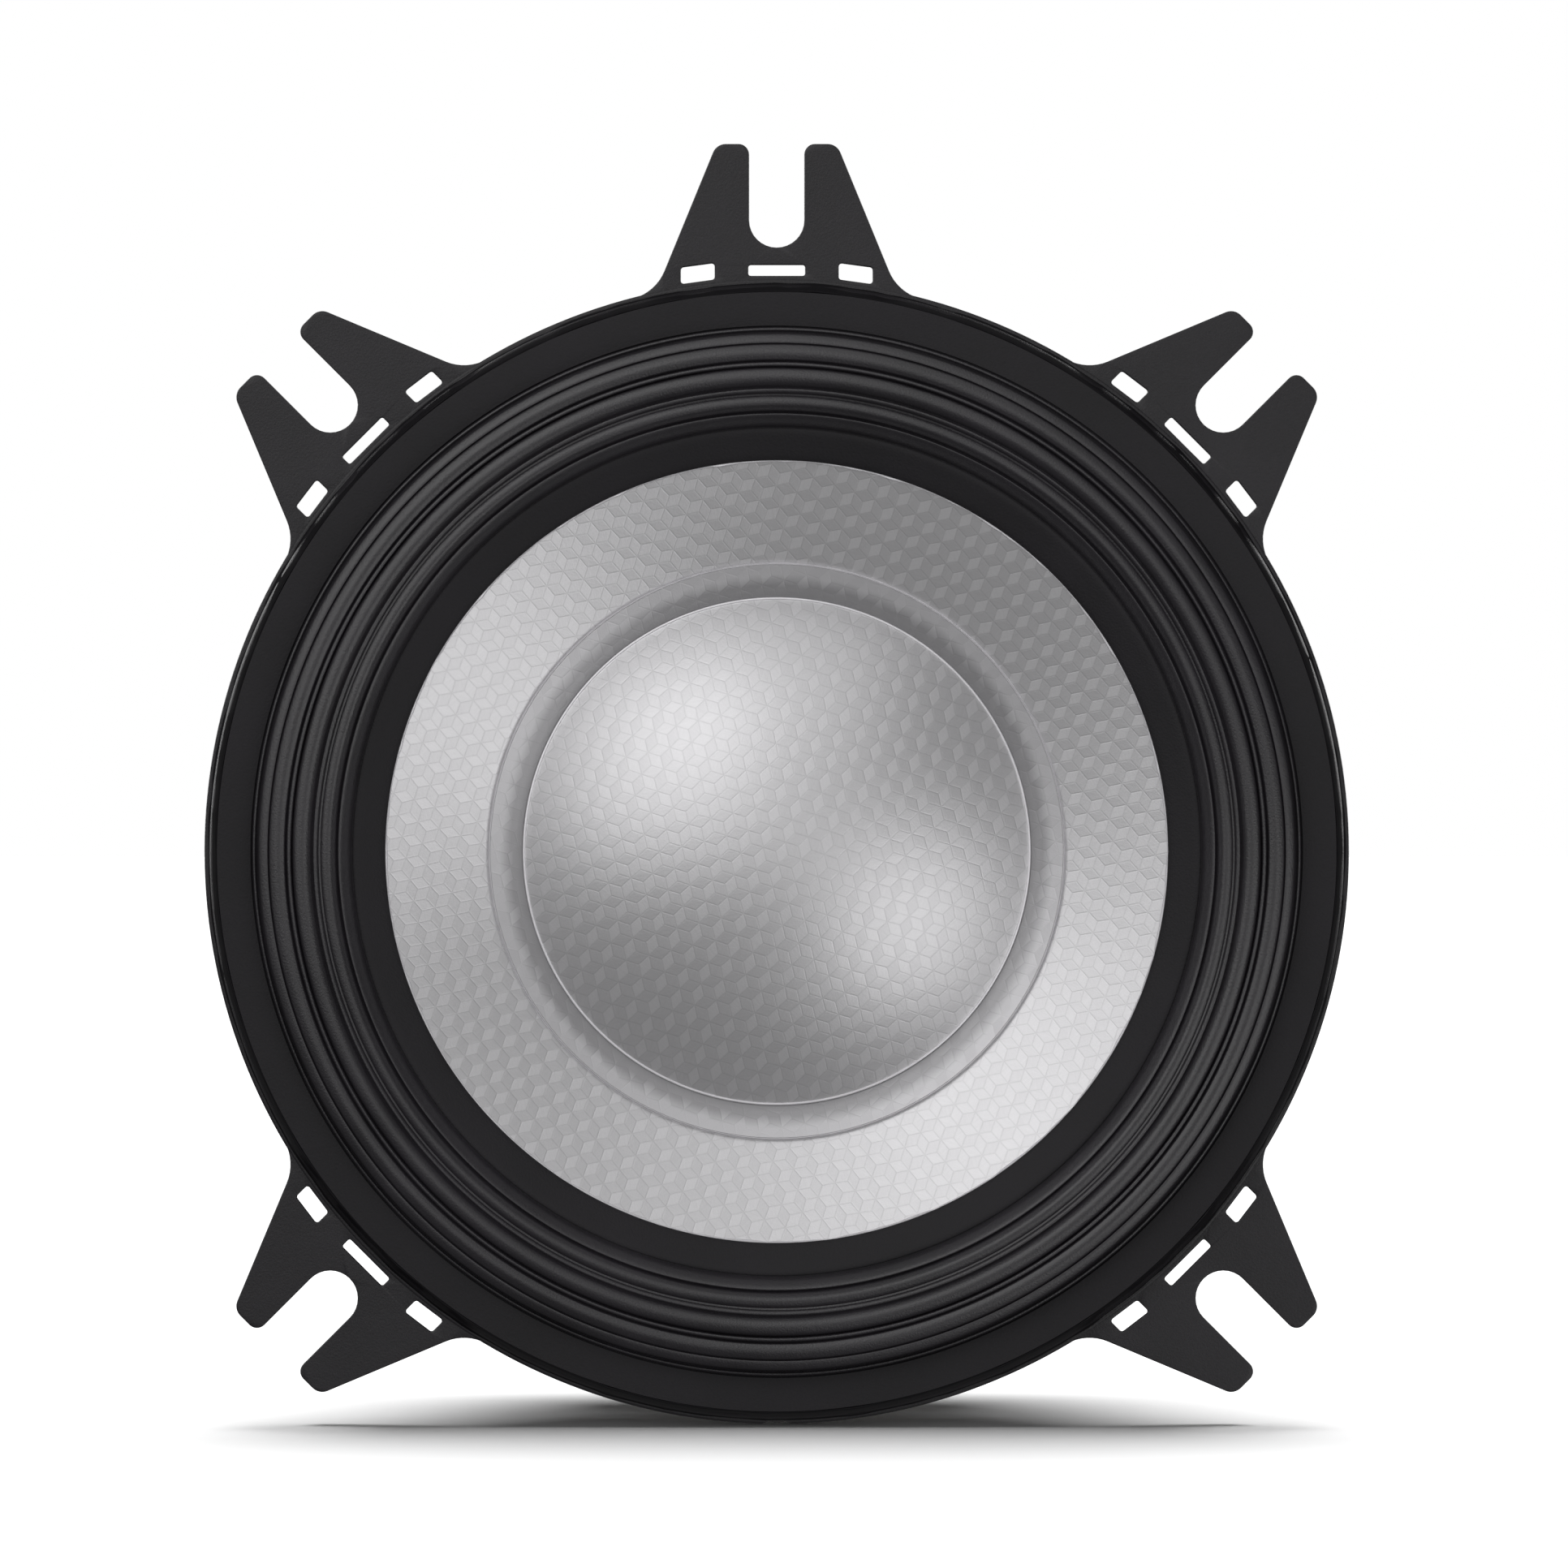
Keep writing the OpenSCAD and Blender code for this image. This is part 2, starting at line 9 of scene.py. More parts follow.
import bmesh
import bpy
from bpy.props import FloatProperty, FloatVectorProperty, IntProperty, PointerProperty
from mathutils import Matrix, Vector


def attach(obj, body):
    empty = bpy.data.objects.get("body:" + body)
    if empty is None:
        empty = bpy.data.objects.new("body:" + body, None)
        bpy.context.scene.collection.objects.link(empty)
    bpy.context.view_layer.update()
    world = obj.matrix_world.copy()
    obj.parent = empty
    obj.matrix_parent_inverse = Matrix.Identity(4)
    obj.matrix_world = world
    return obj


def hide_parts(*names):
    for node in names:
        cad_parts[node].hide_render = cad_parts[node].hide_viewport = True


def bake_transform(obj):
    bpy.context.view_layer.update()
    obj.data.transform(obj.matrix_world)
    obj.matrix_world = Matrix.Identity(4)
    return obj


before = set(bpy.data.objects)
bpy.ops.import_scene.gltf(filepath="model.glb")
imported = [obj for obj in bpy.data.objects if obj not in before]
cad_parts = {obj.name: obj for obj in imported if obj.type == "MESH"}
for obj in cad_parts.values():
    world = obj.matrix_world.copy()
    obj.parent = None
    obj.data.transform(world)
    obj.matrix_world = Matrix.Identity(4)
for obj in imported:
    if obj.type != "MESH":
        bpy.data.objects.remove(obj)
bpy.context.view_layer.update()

bl_info = {
    "name": "Car Speaker Driver",
    "version": (1, 0, 0),
    "blender": (4, 5, 0),
    "location": "3D Viewport > Sidebar > Speaker",
    "description": "Builds the finished pieces of a ten-centimetre car speaker driver",
    "category": "Add Mesh",
}

MM = 0.001
FRAME_BODY = "frame"
MOVING_BODY = "moving_assembly"
EAR_ANGLES = (45, 90, 135, 225, 315)
QUARTERS = (0, 90, 180, 270)
SHARP = math.radians(38)

# Heights and radii that the frame fixes, in millimetres
SHEET = 1.0
RIM_R = 51.0
NECK_R = 13.2
CONE_R = 37.5
CONE_EDGE = 2.75
CAP_R = 25.7
DOME_R = 22.66
LAND_IN_R = 34.83
PLATE_R = 32.5
MAGNET_HOLE_R = 16.75
MAGNET_FRONT = -28.0
MAGNET_REAR = -38.0
BACK = -42.0

# The camera, in millimetres
LENS = 200
SENSOR = 36


# ---- Lines ----

def turned(v, degrees):
    """v turned anticlockwise."""
    a = math.radians(degrees)
    return (v[0] * math.cos(a) - v[1] * math.sin(a), v[0] * math.sin(a) + v[1] * math.cos(a))


def arc(centre, r, start, end, steps):
    """Points of an arc, from one direction to another in degrees."""
    return [
        (centre[0] + r * math.cos(math.radians(start + (end - start) * i / steps)),
         centre[1] + r * math.sin(math.radians(start + (end - start) * i / steps)))
        for i in range(steps + 1)
    ]


def bent(points, steps=5):
    """A line through [x, y, corner radius] points, with each corner rounded."""
    line = []
    for i, (x, y, r) in enumerate(points):
        b = Vector((x, y))
        if not r:
            line.append(tuple(b))
            continue
        u = (Vector(points[i - 1][:2]) - b).normalized()
        w = (Vector(points[i + 1][:2]) - b).normalized()
        half = u.angle(w) / 2
        centre = b + (u + w).normalized() * (r / math.sin(half))
        first = b + u * (r / math.tan(half)) - centre
        last = b + w * (r / math.tan(half)) - centre
        turn = math.copysign(math.pi - 2 * half, first.x * last.y - first.y * last.x)
        for k in range(steps + 1):
            line.append(tuple(centre + Vector(turned(first, math.degrees(turn * k / steps)))))
    return line


def beside(line, h):
    """The line shifted to its left by h."""
    shifted = []
    for i, p in enumerate(line):
        before = Vector(line[max(i - 1, 0)])
        here = Vector(p)
        after = Vector(line[min(i + 1, len(line) - 1)])
        normals = [
            Vector((-d.y, d.x)).normalized()
            for d in (here - before, after - here) if d.length > 1e-9
        ]
        a, b = normals[0], normals[-1]
        shifted.append(tuple(here + (a + b) * (h / (1 + a.dot(b)))))
    return shifted


def smooth(points, steps):
    """A curve through the points, with the given number of steps between neighbours."""
    line = []
    for i in range(len(points) - 1):
        a = Vector(points[max(i - 1, 0)])
        b = Vector(points[i])
        c = Vector(points[i + 1])
        d = Vector(points[min(i + 2, len(points) - 1)])
        for k in range(steps):
            t = k / steps
            line.append(tuple(0.5 * (
                2 * b + (c - a) * t + (2 * a - 5 * b + 4 * c - d) * t * t
                + (3 * b - a - 3 * c + d) * t ** 3
            )))
    line.append(tuple(points[-1]))
    return line


def split(a, b, steps):
    """The points of a straight stretch, without its last."""
    return [(a[0] + (b[0] - a[0]) * k / steps, a[1] + (b[1] - a[1]) * k / steps) for k in range(steps)]


def cone_z(r):
    """Height of the cone's front face: straight outside, and steeper towards the neck."""
    edge = math.tan(math.radians(23.5))
    gain = math.tan(math.radians(48)) - edge
    inside = max(26 - r, 0)
    return CONE_EDGE - edge * (CONE_R - r) - gain * inside * inside / (2 * (26 - NECK_R))


# ---- Modelling by operators ----

def only(obj):
    """Makes obj the one selected and active object."""
    bpy.ops.object.select_all(action="DESELECT")
    obj.select_set(True)
    bpy.context.view_layer.objects.active = obj


def select_mesh():
    """Selects the whole mesh, in edit mode."""
    bpy.ops.mesh.select_all(action="SELECT")


def draw(name, points):
    """Draws a closed loop of edges by extruding one vertex along (x, y, z) points in millimetres."""
    bpy.ops.object.select_all(action="DESELECT")
    bpy.ops.mesh.primitive_plane_add(size=MM, location=(0, 0, 0))
    obj = bpy.context.object
    obj.name = obj.data.name = name
    obj.data.materials.clear()
    places = [Vector(p) * MM for p in points]
    places.append(places[0])
    bpy.ops.object.mode_set(mode="EDIT")
    select_mesh()
    bpy.ops.mesh.merge(type="CENTER")
    bpy.ops.transform.translate(value=places[0])
    for here, there in zip(places, places[1:]):
        bpy.ops.mesh.extrude_region_move(TRANSFORM_OT_translate={"value": there - here})
    select_mesh()
    bpy.ops.mesh.remove_doubles(threshold=MM * 1e-4)
    return obj


def spun(name, profile, steps):
    """A turned piece: the [r, z] profile spun once about the speaker's axis."""
    obj = draw(name, [(r, -z, 0) for r, z in profile])
    select_mesh()
    bpy.ops.mesh.spin(steps=steps, angle=math.tau, center=(0, 0, 0), axis=(0, 1, 0))
    select_mesh()
    bpy.ops.mesh.remove_doubles(threshold=MM * 1e-3)
    bpy.ops.mesh.delete_loose(use_verts=True, use_edges=True, use_faces=False)
    select_mesh()
    bpy.ops.mesh.normals_make_consistent(inside=False)
    bpy.ops.object.mode_set(mode="OBJECT")
    return obj


def choose_flats(obj):
    """Selects, in edit mode, the faces that look along the speaker's axis."""
    bpy.ops.mesh.select_all(action="DESELECT")
    for face in bmesh.from_edit_mesh(obj.data).faces:
        if abs(face.normal.y) > 0.95:
            face.select_set(True)
    bmesh.update_edit_mesh(obj.data)


def plate(name, loops, low, high, chamfer):
    """A flat plate between two heights, from an outline and its holes, with its edges broken."""
    parts = []
    for loop in loops:
        parts.append(draw(name, [(x, -(low + chamfer), y) for x, y in loop]))
        bpy.ops.object.mode_set(mode="OBJECT")
    only(parts[0])
    for part in parts[1:]:
        part.select_set(True)
    if len(parts) > 1:
        bpy.ops.object.join()
    obj = bpy.context.object
    bpy.ops.object.mode_set(mode="EDIT")
    select_mesh()
    bpy.ops.mesh.fill(use_beauty=True)
    select_mesh()
    rise = (low - high + 2 * chamfer) * MM
    bpy.ops.mesh.extrude_region_move(TRANSFORM_OT_translate={"value": (0, rise, 0)})
    select_mesh()
    bpy.ops.mesh.normals_make_consistent(inside=False)
    if chamfer:
        for share in (0.7, 0.3):
            choose_flats(obj)
            bpy.ops.mesh.inset(thickness=chamfer * (1 - share) * MM, depth=chamfer * share * MM)
    bpy.ops.object.mode_set(mode="OBJECT")
    return obj


def combine(obj, other, operation):
    """Applies a boolean of obj with other, which is used up."""
    only(obj)
    bpy.ops.object.modifier_add(type="BOOLEAN")
    modifier = obj.modifiers[-1]
    modifier.operation = operation
    modifier.object = other
    modifier.solver = "EXACT"
    bpy.ops.object.modifier_apply(modifier=modifier.name)
    bpy.data.objects.remove(other)


def place(obj, look, body, nodes=(), weighted=False):
    """Shades a finished piece, gives it its finish and its body, and hides the nodes it stands for."""
    only(obj)
    bpy.ops.object.shade_smooth_by_angle(angle=SHARP)
    if weighted:
        bpy.ops.object.modifier_add(type="WEIGHTED_NORMAL")
        obj.modifiers[-1].keep_sharp = True
        bpy.ops.object.modifier_apply(modifier=obj.modifiers[-1].name)
    obj.data.materials.clear()
    obj.data.materials.append(finish(look))
    if body:
        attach(obj, body)
    if nodes:
        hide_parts(*nodes)


def bend_between(obj, share):
    """Bakes obj's transform and works out share at each point, 0 on the frame and 1 on the cone, but does not
    use it.
    """
    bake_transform(obj)
    for vertex in obj.data.vertices:
        t = min(max(share(vertex.co / MM), 0), 1)


def from_axis(co):
    """Distance of a point from the speaker's axis."""
    return math.hypot(co.x, co.z)


# ---- Shader nodes ----

def add(tree, kind, inputs=None, **settings):
    """Adds a node, sets its properties, and sets or links its inputs by name or number."""
    node = tree.nodes.new(kind)
    for key, value in settings.items():
        setattr(node, key, value)
    for key, value in (inputs or {}).items():
        if isinstance(value, bpy.types.NodeSocket):
            tree.links.new(value, node.inputs[key])
        else:
            node.inputs[key].default_value = value
    return node


def maths(tree, operation, *values):
    """The result of a math node."""
    return add(tree, "ShaderNodeMath", dict(enumerate(values)), operation=operation).outputs[0]


def times(tree, a, b):
    """The product of two values."""
    return maths(tree, "MULTIPLY", a, b)


def plus(tree, a, b):
    """The sum of two values."""
    return maths(tree, "ADD", a, b)


def minus(tree, a, b):
    """The first value less the second."""
    return maths(tree, "SUBTRACT", a, b)


def object_coords(tree):
    """The place on the piece, in metres."""
    return add(tree, "ShaderNodeTexCoord").outputs["Object"]


def from_centre(tree, coords):
    """The distance from the speaker's axis, in metres."""
    return vectors(tree, "LENGTH", vectors(tree, "MULTIPLY", coords, (1.0, 0.0, 1.0)), out=1)


def vectors(tree, operation, *values, out=0):
    """A result of a vector math node."""
    return add(tree, "ShaderNodeVectorMath", dict(enumerate(values)), operation=operation).outputs[out]


def noise(tree, coords, scale, detail=3.0, roughness=0.5):
    """The value of a noise texture, from 0 to 1."""
    return add(
        tree, "ShaderNodeTexNoise",
        {"Vector": coords, "Scale": scale, "Detail": detail, "Roughness": roughness},
    ).outputs[0]


def blend_colours(tree, factor, a, b):
    """A mix of two colours."""
    mix = add(tree, "ShaderNodeMix", data_type="RGBA")
    for index, value in ((0, factor), (6, a), (7, b)):
        if isinstance(value, bpy.types.NodeSocket):
            tree.links.new(value, mix.inputs[index])
        else:
            mix.inputs[index].default_value = value
    return mix.outputs[2]


def new_group(name, inputs, outputs):
    """An empty node group with float inputs given as (name, default) and float outputs."""
    tree = bpy.data.node_groups.new(name, "ShaderNodeTree")
    for label, default in inputs:
        socket = tree.interface.new_socket(label, in_out="INPUT", socket_type="NodeSocketFloat")
        socket.default_value = default
    for label in outputs:
        tree.interface.new_socket(label, in_out="OUTPUT", socket_type="NodeSocketFloat")
    return tree, tree.nodes.new("NodeGroupInput").outputs, tree.nodes.new("NodeGroupOutput").inputs


def grain_group():
    """Fine moulded or sprayed grain. Height is in metres, and Tone runs from 0 to 1."""
    tree, given, result = new_group(
        "Fine grain", [("Size", 0.25), ("Depth", 0.01), ("Cloud size", 9.0)], ["Height", "Tone"]
    )
    coords = object_coords(tree)
    scale = maths(tree, "DIVIDE", 1000.0, given["Size"])
    fine = noise(tree, coords, scale, 2.0, 0.6)
    pits = add(tree, "ShaderNodeTexVoronoi", {"Vector": coords, "Scale": scale}).outputs["Distance"]
    height = plus(tree, fine, times(tree, pits, 0.5))
    tree.links.new(times(tree, height, times(tree, given["Depth"], MM)), result["Height"])
    cloud = noise(tree, coords, maths(tree, "DIVIDE", 1000.0, given["Cloud size"]), 4.0, 0.55)
    tone = plus(tree, times(tree, cloud, 0.65), times(tree, fine, 0.35))
    tree.links.new(tone, result["Tone"])
    return tree


def weave_group():
    """Cloth woven in three directions, which reads as tumbling blocks of rhombic floats.

    Each hexagon of the cloth holds three floats that meet at its middle. Height tilts each float
    outwards, Float is 1 on every third float, Crease is 1 in the lines between floats, and Fibre is the fine
    streaking along a float. The pattern lies across the speaker's axis.
    """
    tree, given, result = new_group(
        "Triaxial weave",
        [("Pitch", 1.94), ("Turn", 19.0), ("Tilt", 0.06), ("Crease width", 0.06)],
        ["Height", "Float", "Crease", "Fibre"],
    )
    coords = object_coords(tree)
    flat = add(tree, "ShaderNodeSeparateXYZ", {"Vector": coords})
    wander = add(
        tree, "ShaderNodeTexNoise", {"Vector": coords, "Scale": 120.0, "Detail": 1.0}
    ).outputs["Color"]
    face = add(tree, "ShaderNodeCombineXYZ", {"X": flat.outputs["X"], "Y": flat.outputs["Z"]}).outputs[0]
    shift = vectors(tree, "MULTIPLY", vectors(tree, "SUBTRACT", wander, (0.5, 0.5, 0.5)), (5e-4, 5e-4, 0.0))
    face = vectors(tree, "ADD", face, shift)
    angle = maths(tree, "RADIANS", given["Turn"])
    face = add(
        tree, "ShaderNodeVectorRotate", {"Vector": face, "Angle": angle}, rotation_type="Z_AXIS"
    ).outputs[0]
    pitch = times(tree, given["Pitch"], MM)
    half = add(
        tree, "ShaderNodeCombineXYZ",
        {"X": times(tree, pitch, 0.5), "Y": times(tree, pitch, math.sqrt(3) / 2), "Z": 1.0},
    ).outputs[0]
    low = vectors(tree, "MULTIPLY", half, (-1.0, -1.0, -1.0))

    def wrapped(vector):
        return vectors(tree, "WRAP", vector, half, low)

    near = wrapped(face)
    far = wrapped(vectors(tree, "SUBTRACT", face, vectors(tree, "MULTIPLY", half, (1.0, 1.0, 0.0))))
    nearer = maths(
        tree, "LESS_THAN", vectors(tree, "LENGTH", far, out=1), vectors(tree, "LENGTH", near, out=1)
    )
    mix = add(tree, "ShaderNodeMix", data_type="VECTOR")
    for index, socket in ((0, nearer), (4, near), (5, far)):
        tree.links.new(socket, mix.inputs[index])
    cell = mix.outputs[1]
    reach = vectors(tree, "LENGTH", cell, out=1)
    parts = add(tree, "ShaderNodeSeparateXYZ", {"Vector": cell}).outputs
    bearing = maths(tree, "ARCTAN2", parts["Y"], parts["X"])
    thirds = plus(tree, maths(tree, "DIVIDE", bearing, math.tau / 3), 2.75)
    which = maths(tree, "FLOOR", maths(tree, "MODULO", thirds, 3.0))
    lean = times(tree, minus(tree, maths(tree, "FRACT", thirds), 0.5), math.tau / 3)
    lean_size = maths(tree, "ABSOLUTE", lean)
    outward = times(tree, reach, maths(tree, "COSINE", lean))
    to_side = times(tree, reach, maths(tree, "SINE", minus(tree, math.pi / 3, lean_size)))
    across = maths(tree, "COSINE", minus(tree, lean_size, math.pi / 6))
    to_rim = minus(tree, times(tree, pitch, 0.5), times(tree, reach, across))
    crease_width = times(tree, given["Crease width"], MM)
    gap = maths(tree, "DIVIDE", maths(tree, "MINIMUM", to_side, to_rim), crease_width)
    crease = minus(tree, 1.0, add(tree, "ShaderNodeClamp", {"Value": gap}).outputs[0])
    along = add(
        tree, "ShaderNodeVectorRotate",
        {"Vector": face, "Angle": times(tree, which, math.tau / 3)}, rotation_type="Z_AXIS",
    ).outputs[0]
    fibre = noise(tree, vectors(tree, "MULTIPLY", along, (700.0, 5200.0, 1.0)), 1.0, 2.0, 0.6)
    tree.links.new(crease, result["Crease"])
    tree.links.new(maths(tree, "GREATER_THAN", which, 1.5), result["Float"])
    tree.links.new(fibre, result["Fibre"])
    tilt = times(tree, outward, given["Tilt"])
    dip = times(tree, crease, -6e-6)
    ridge = times(tree, fibre, 4e-6)
    tree.links.new(plus(tree, tilt, plus(tree, dip, ridge)), result["Height"])
    return tree


def turning_group():
    """Fine rings left by a lathe or a press. Height is in metres, and Tone runs from 0 to 1."""
    tree, given, result = new_group("Turning marks", [("Pitch", 0.3), ("Depth", 0.004)], ["Height", "Tone"])
    coords = object_coords(tree)
    height = add(tree, "ShaderNodeSeparateXYZ", {"Vector": coords}).outputs["Y"]
    line = add(tree, "ShaderNodeCombineXYZ", {"X": from_centre(tree, coords), "Y": height}).outputs[0]
    rings = noise(tree, line, maths(tree, "DIVIDE", 1000.0, given["Pitch"]), 2.0, 0.7)
    cloud = noise(tree, coords, 150.0, 4.0, 0.6)
    tree.links.new(times(tree, rings, times(tree, given["Depth"], MM)), result["Height"])
    tone = plus(tree, times(tree, rings, 0.4), times(tree, cloud, 0.6))
    tree.links.new(tone, result["Tone"])
    return tree


def threads_group():
    """Plain-woven threads at right angles. Height is in metres, and Tone runs from 0 to 1."""
    tree, given, result = new_group("Plain threads", [("Pitch", 0.5), ("Depth", 0.06)], ["Height", "Tone"])
    coords = object_coords(tree)
    scaled = vectors(tree, "SCALE", coords)
    tree.links.new(maths(tree, "DIVIDE", 1000.0 * math.pi, given["Pitch"]), scaled.node.inputs["Scale"])
    parts = add(tree, "ShaderNodeSeparateXYZ", {"Vector": scaled}).outputs
    warp = maths(tree, "ABSOLUTE", maths(tree, "SINE", parts["X"]))
    weft = maths(tree, "ABSOLUTE", maths(tree, "SINE", parts["Z"]))
    phase = times(tree, maths(tree, "COSINE", parts["X"]), maths(tree, "COSINE", parts["Z"]))
    over = maths(tree, "GREATER_THAN", phase, 0.0)
    mix = add(tree, "ShaderNodeMix", {0: over, 2: warp, 3: weft}).outputs[0]
    tree.links.new(times(tree, mix, times(tree, given["Depth"], MM)), result["Height"])
    fuzz = noise(tree, coords, 900.0, 3.0, 0.6)
    tree.links.new(plus(tree, times(tree, mix, 0.6), times(tree, fuzz, 0.4)), result["Tone"])
    return tree


GROUP_MAKERS = {
    "Fine grain": grain_group,
    "Triaxial weave": weave_group,
    "Turning marks": turning_group,
    "Plain threads": threads_group,
}


def group(tree, name, **values):
    """Places a node group, built the first time it is asked for, with its own values."""
    node = tree.nodes.new("ShaderNodeGroup")
    node.node_tree = bpy.data.node_groups.get(name) or GROUP_MAKERS[name]()
    for key, value in values.items():
        node.inputs[key.replace("_", " ")].default_value = value
    return node.outputs


def new_material(name, roughness, metallic=0.0, **constants):
    """A material with one Principled shader. Returns it with its tree and that shader."""
    material = bpy.data.materials.new(name)
    material.use_nodes = True
    tree = material.node_tree
    shader = tree.nodes["Principled BSDF"]
    shader.inputs["Roughness"].default_value = roughness
    shader.inputs["Metallic"].default_value = metallic
    for key, value in constants.items():
        shader.inputs[key.replace("_", " ")].default_value = value
    return material, tree, shader


def dress(tree, shader, colour, height, roughness=None):
    """Feeds a colour, a height in metres and a roughness to the shader."""
    bump = add(tree, "ShaderNodeBump", {"Height": height, "Distance": 1.0, "Strength": 1.0})
    tree.links.new(colour, shader.inputs["Base Color"])
    tree.links.new(bump.outputs[0], shader.inputs["Normal"])
    if roughness is not None:
        tree.links.new(roughness, shader.inputs["Roughness"])


def spread(tree, value, low, high):
    """Maps 0 to 1 onto low to high."""
    return add(tree, "ShaderNodeMapRange", {"Value": value, "To Min": low, "To Max": high}).outputs[0]


def shades(tree, tone, colour, low, high):
    """The colour, darkened and lightened by tone about its middle."""
    dark = tuple(c * low for c in colour[:3]) + (1.0,)
    light = tuple(min(c * high, 1.0) for c in colour[:3]) + (1.0,)
    return blend_colours(tree, spread(tree, tone, -0.5, 1.5), dark, light)


def grained(
    name, colour, roughness, size, depth, cloud=9.0, low=0.8, high=1.25, swing=0.06, metallic=0.0,
    **constants,
):
    """A sprayed, moulded or cast finish with fine grain."""
    material, tree, shader = new_material(name, roughness, metallic, **constants)
    grain = group(tree, "Fine grain", Size=size, Depth=depth, Cloud_size=cloud)
    dress(
        tree, shader, shades(tree, grain["Tone"], colour, low, high), grain["Height"],
        spread(tree, grain["Tone"], roughness - swing, roughness + swing),
    )
    return material


def turned_metal(name, colour, roughness, pitch, depth, low=0.8, high=1.15):
    """A turned or pressed metal with fine rings."""
    material, tree, shader = new_material(name, roughness, 1.0)
    marks = group(tree, "Turning marks", Pitch=pitch, Depth=depth)
    dress(
        tree, shader, shades(tree, marks["Tone"], colour, low, high), marks["Height"],
        spread(tree, marks["Tone"], roughness - 0.1, roughness + 0.1),
    )
    return material


def threaded(name, colour, roughness, pitch, depth, low=0.7, high=1.2):
    """A plain-woven cloth."""
    material, tree, shader = new_material(name, roughness)
    threads = group(tree, "Plain threads", Pitch=pitch, Depth=depth)
    dress(tree, shader, shades(tree, threads["Tone"], colour, low, high), threads["Height"])
    return material


def woven(name, colour, roughness, pitch, turn, tilt, contrast, metallic=0.66, painted_shade_ramp=0.0):
    """The resin-set cloth of the cone and the dust cap.

    Every third float is painted paler by contrast, a painted sheen for the floats whose fibres catch the
    light, and is a little rougher. The creases between floats are painted darker, as painted shade. Given an
    edge ramp, the cap's flange is painted darker by the dome and lighter towards its rim, as painted shade.
    """
    material, tree, shader = new_material(name, roughness, metallic)
    weave = group(tree, "Triaxial weave", Pitch=pitch, Turn=turn, Tilt=tilt, Crease_width=0.09)
    grain = group(tree, "Fine grain", Size=0.2, Depth=0.004, Cloud_size=14.0)
    fibres = times(tree, minus(tree, weave["Fibre"], 0.5), 0.1)
    # Painted sheen: every third float is made paler, for the light that its fibres catch.
    lift = plus(tree, times(tree, weave["Float"], contrast), fibres)
    lift = plus(tree, lift, times(tree, minus(tree, grain["Tone"], 0.5), 0.12))
    # Painted shade: the creases between the floats are darkened.
    lift = minus(tree, lift, times(tree, weave["Crease"], 0.1))
    # Painted shade: the flange darkens towards the dome and pales towards its rim.
    if painted_shade_ramp:
        across = minus(tree, from_centre(tree, object_coords(tree)), (DOME_R + CAP_R) / 2 * MM)
        lift = plus(tree, lift, times(tree, across, painted_shade_ramp / ((CAP_R - DOME_R) * MM)))
    dress(
        tree, shader, shades(tree, plus(tree, lift, 0.5 - contrast / 2), colour, 0.75, 1.25),
        plus(tree, weave["Height"], grain["Height"]),
        spread(tree, weave["Float"], roughness - 0.01, roughness + 0.035),
    )
    return material


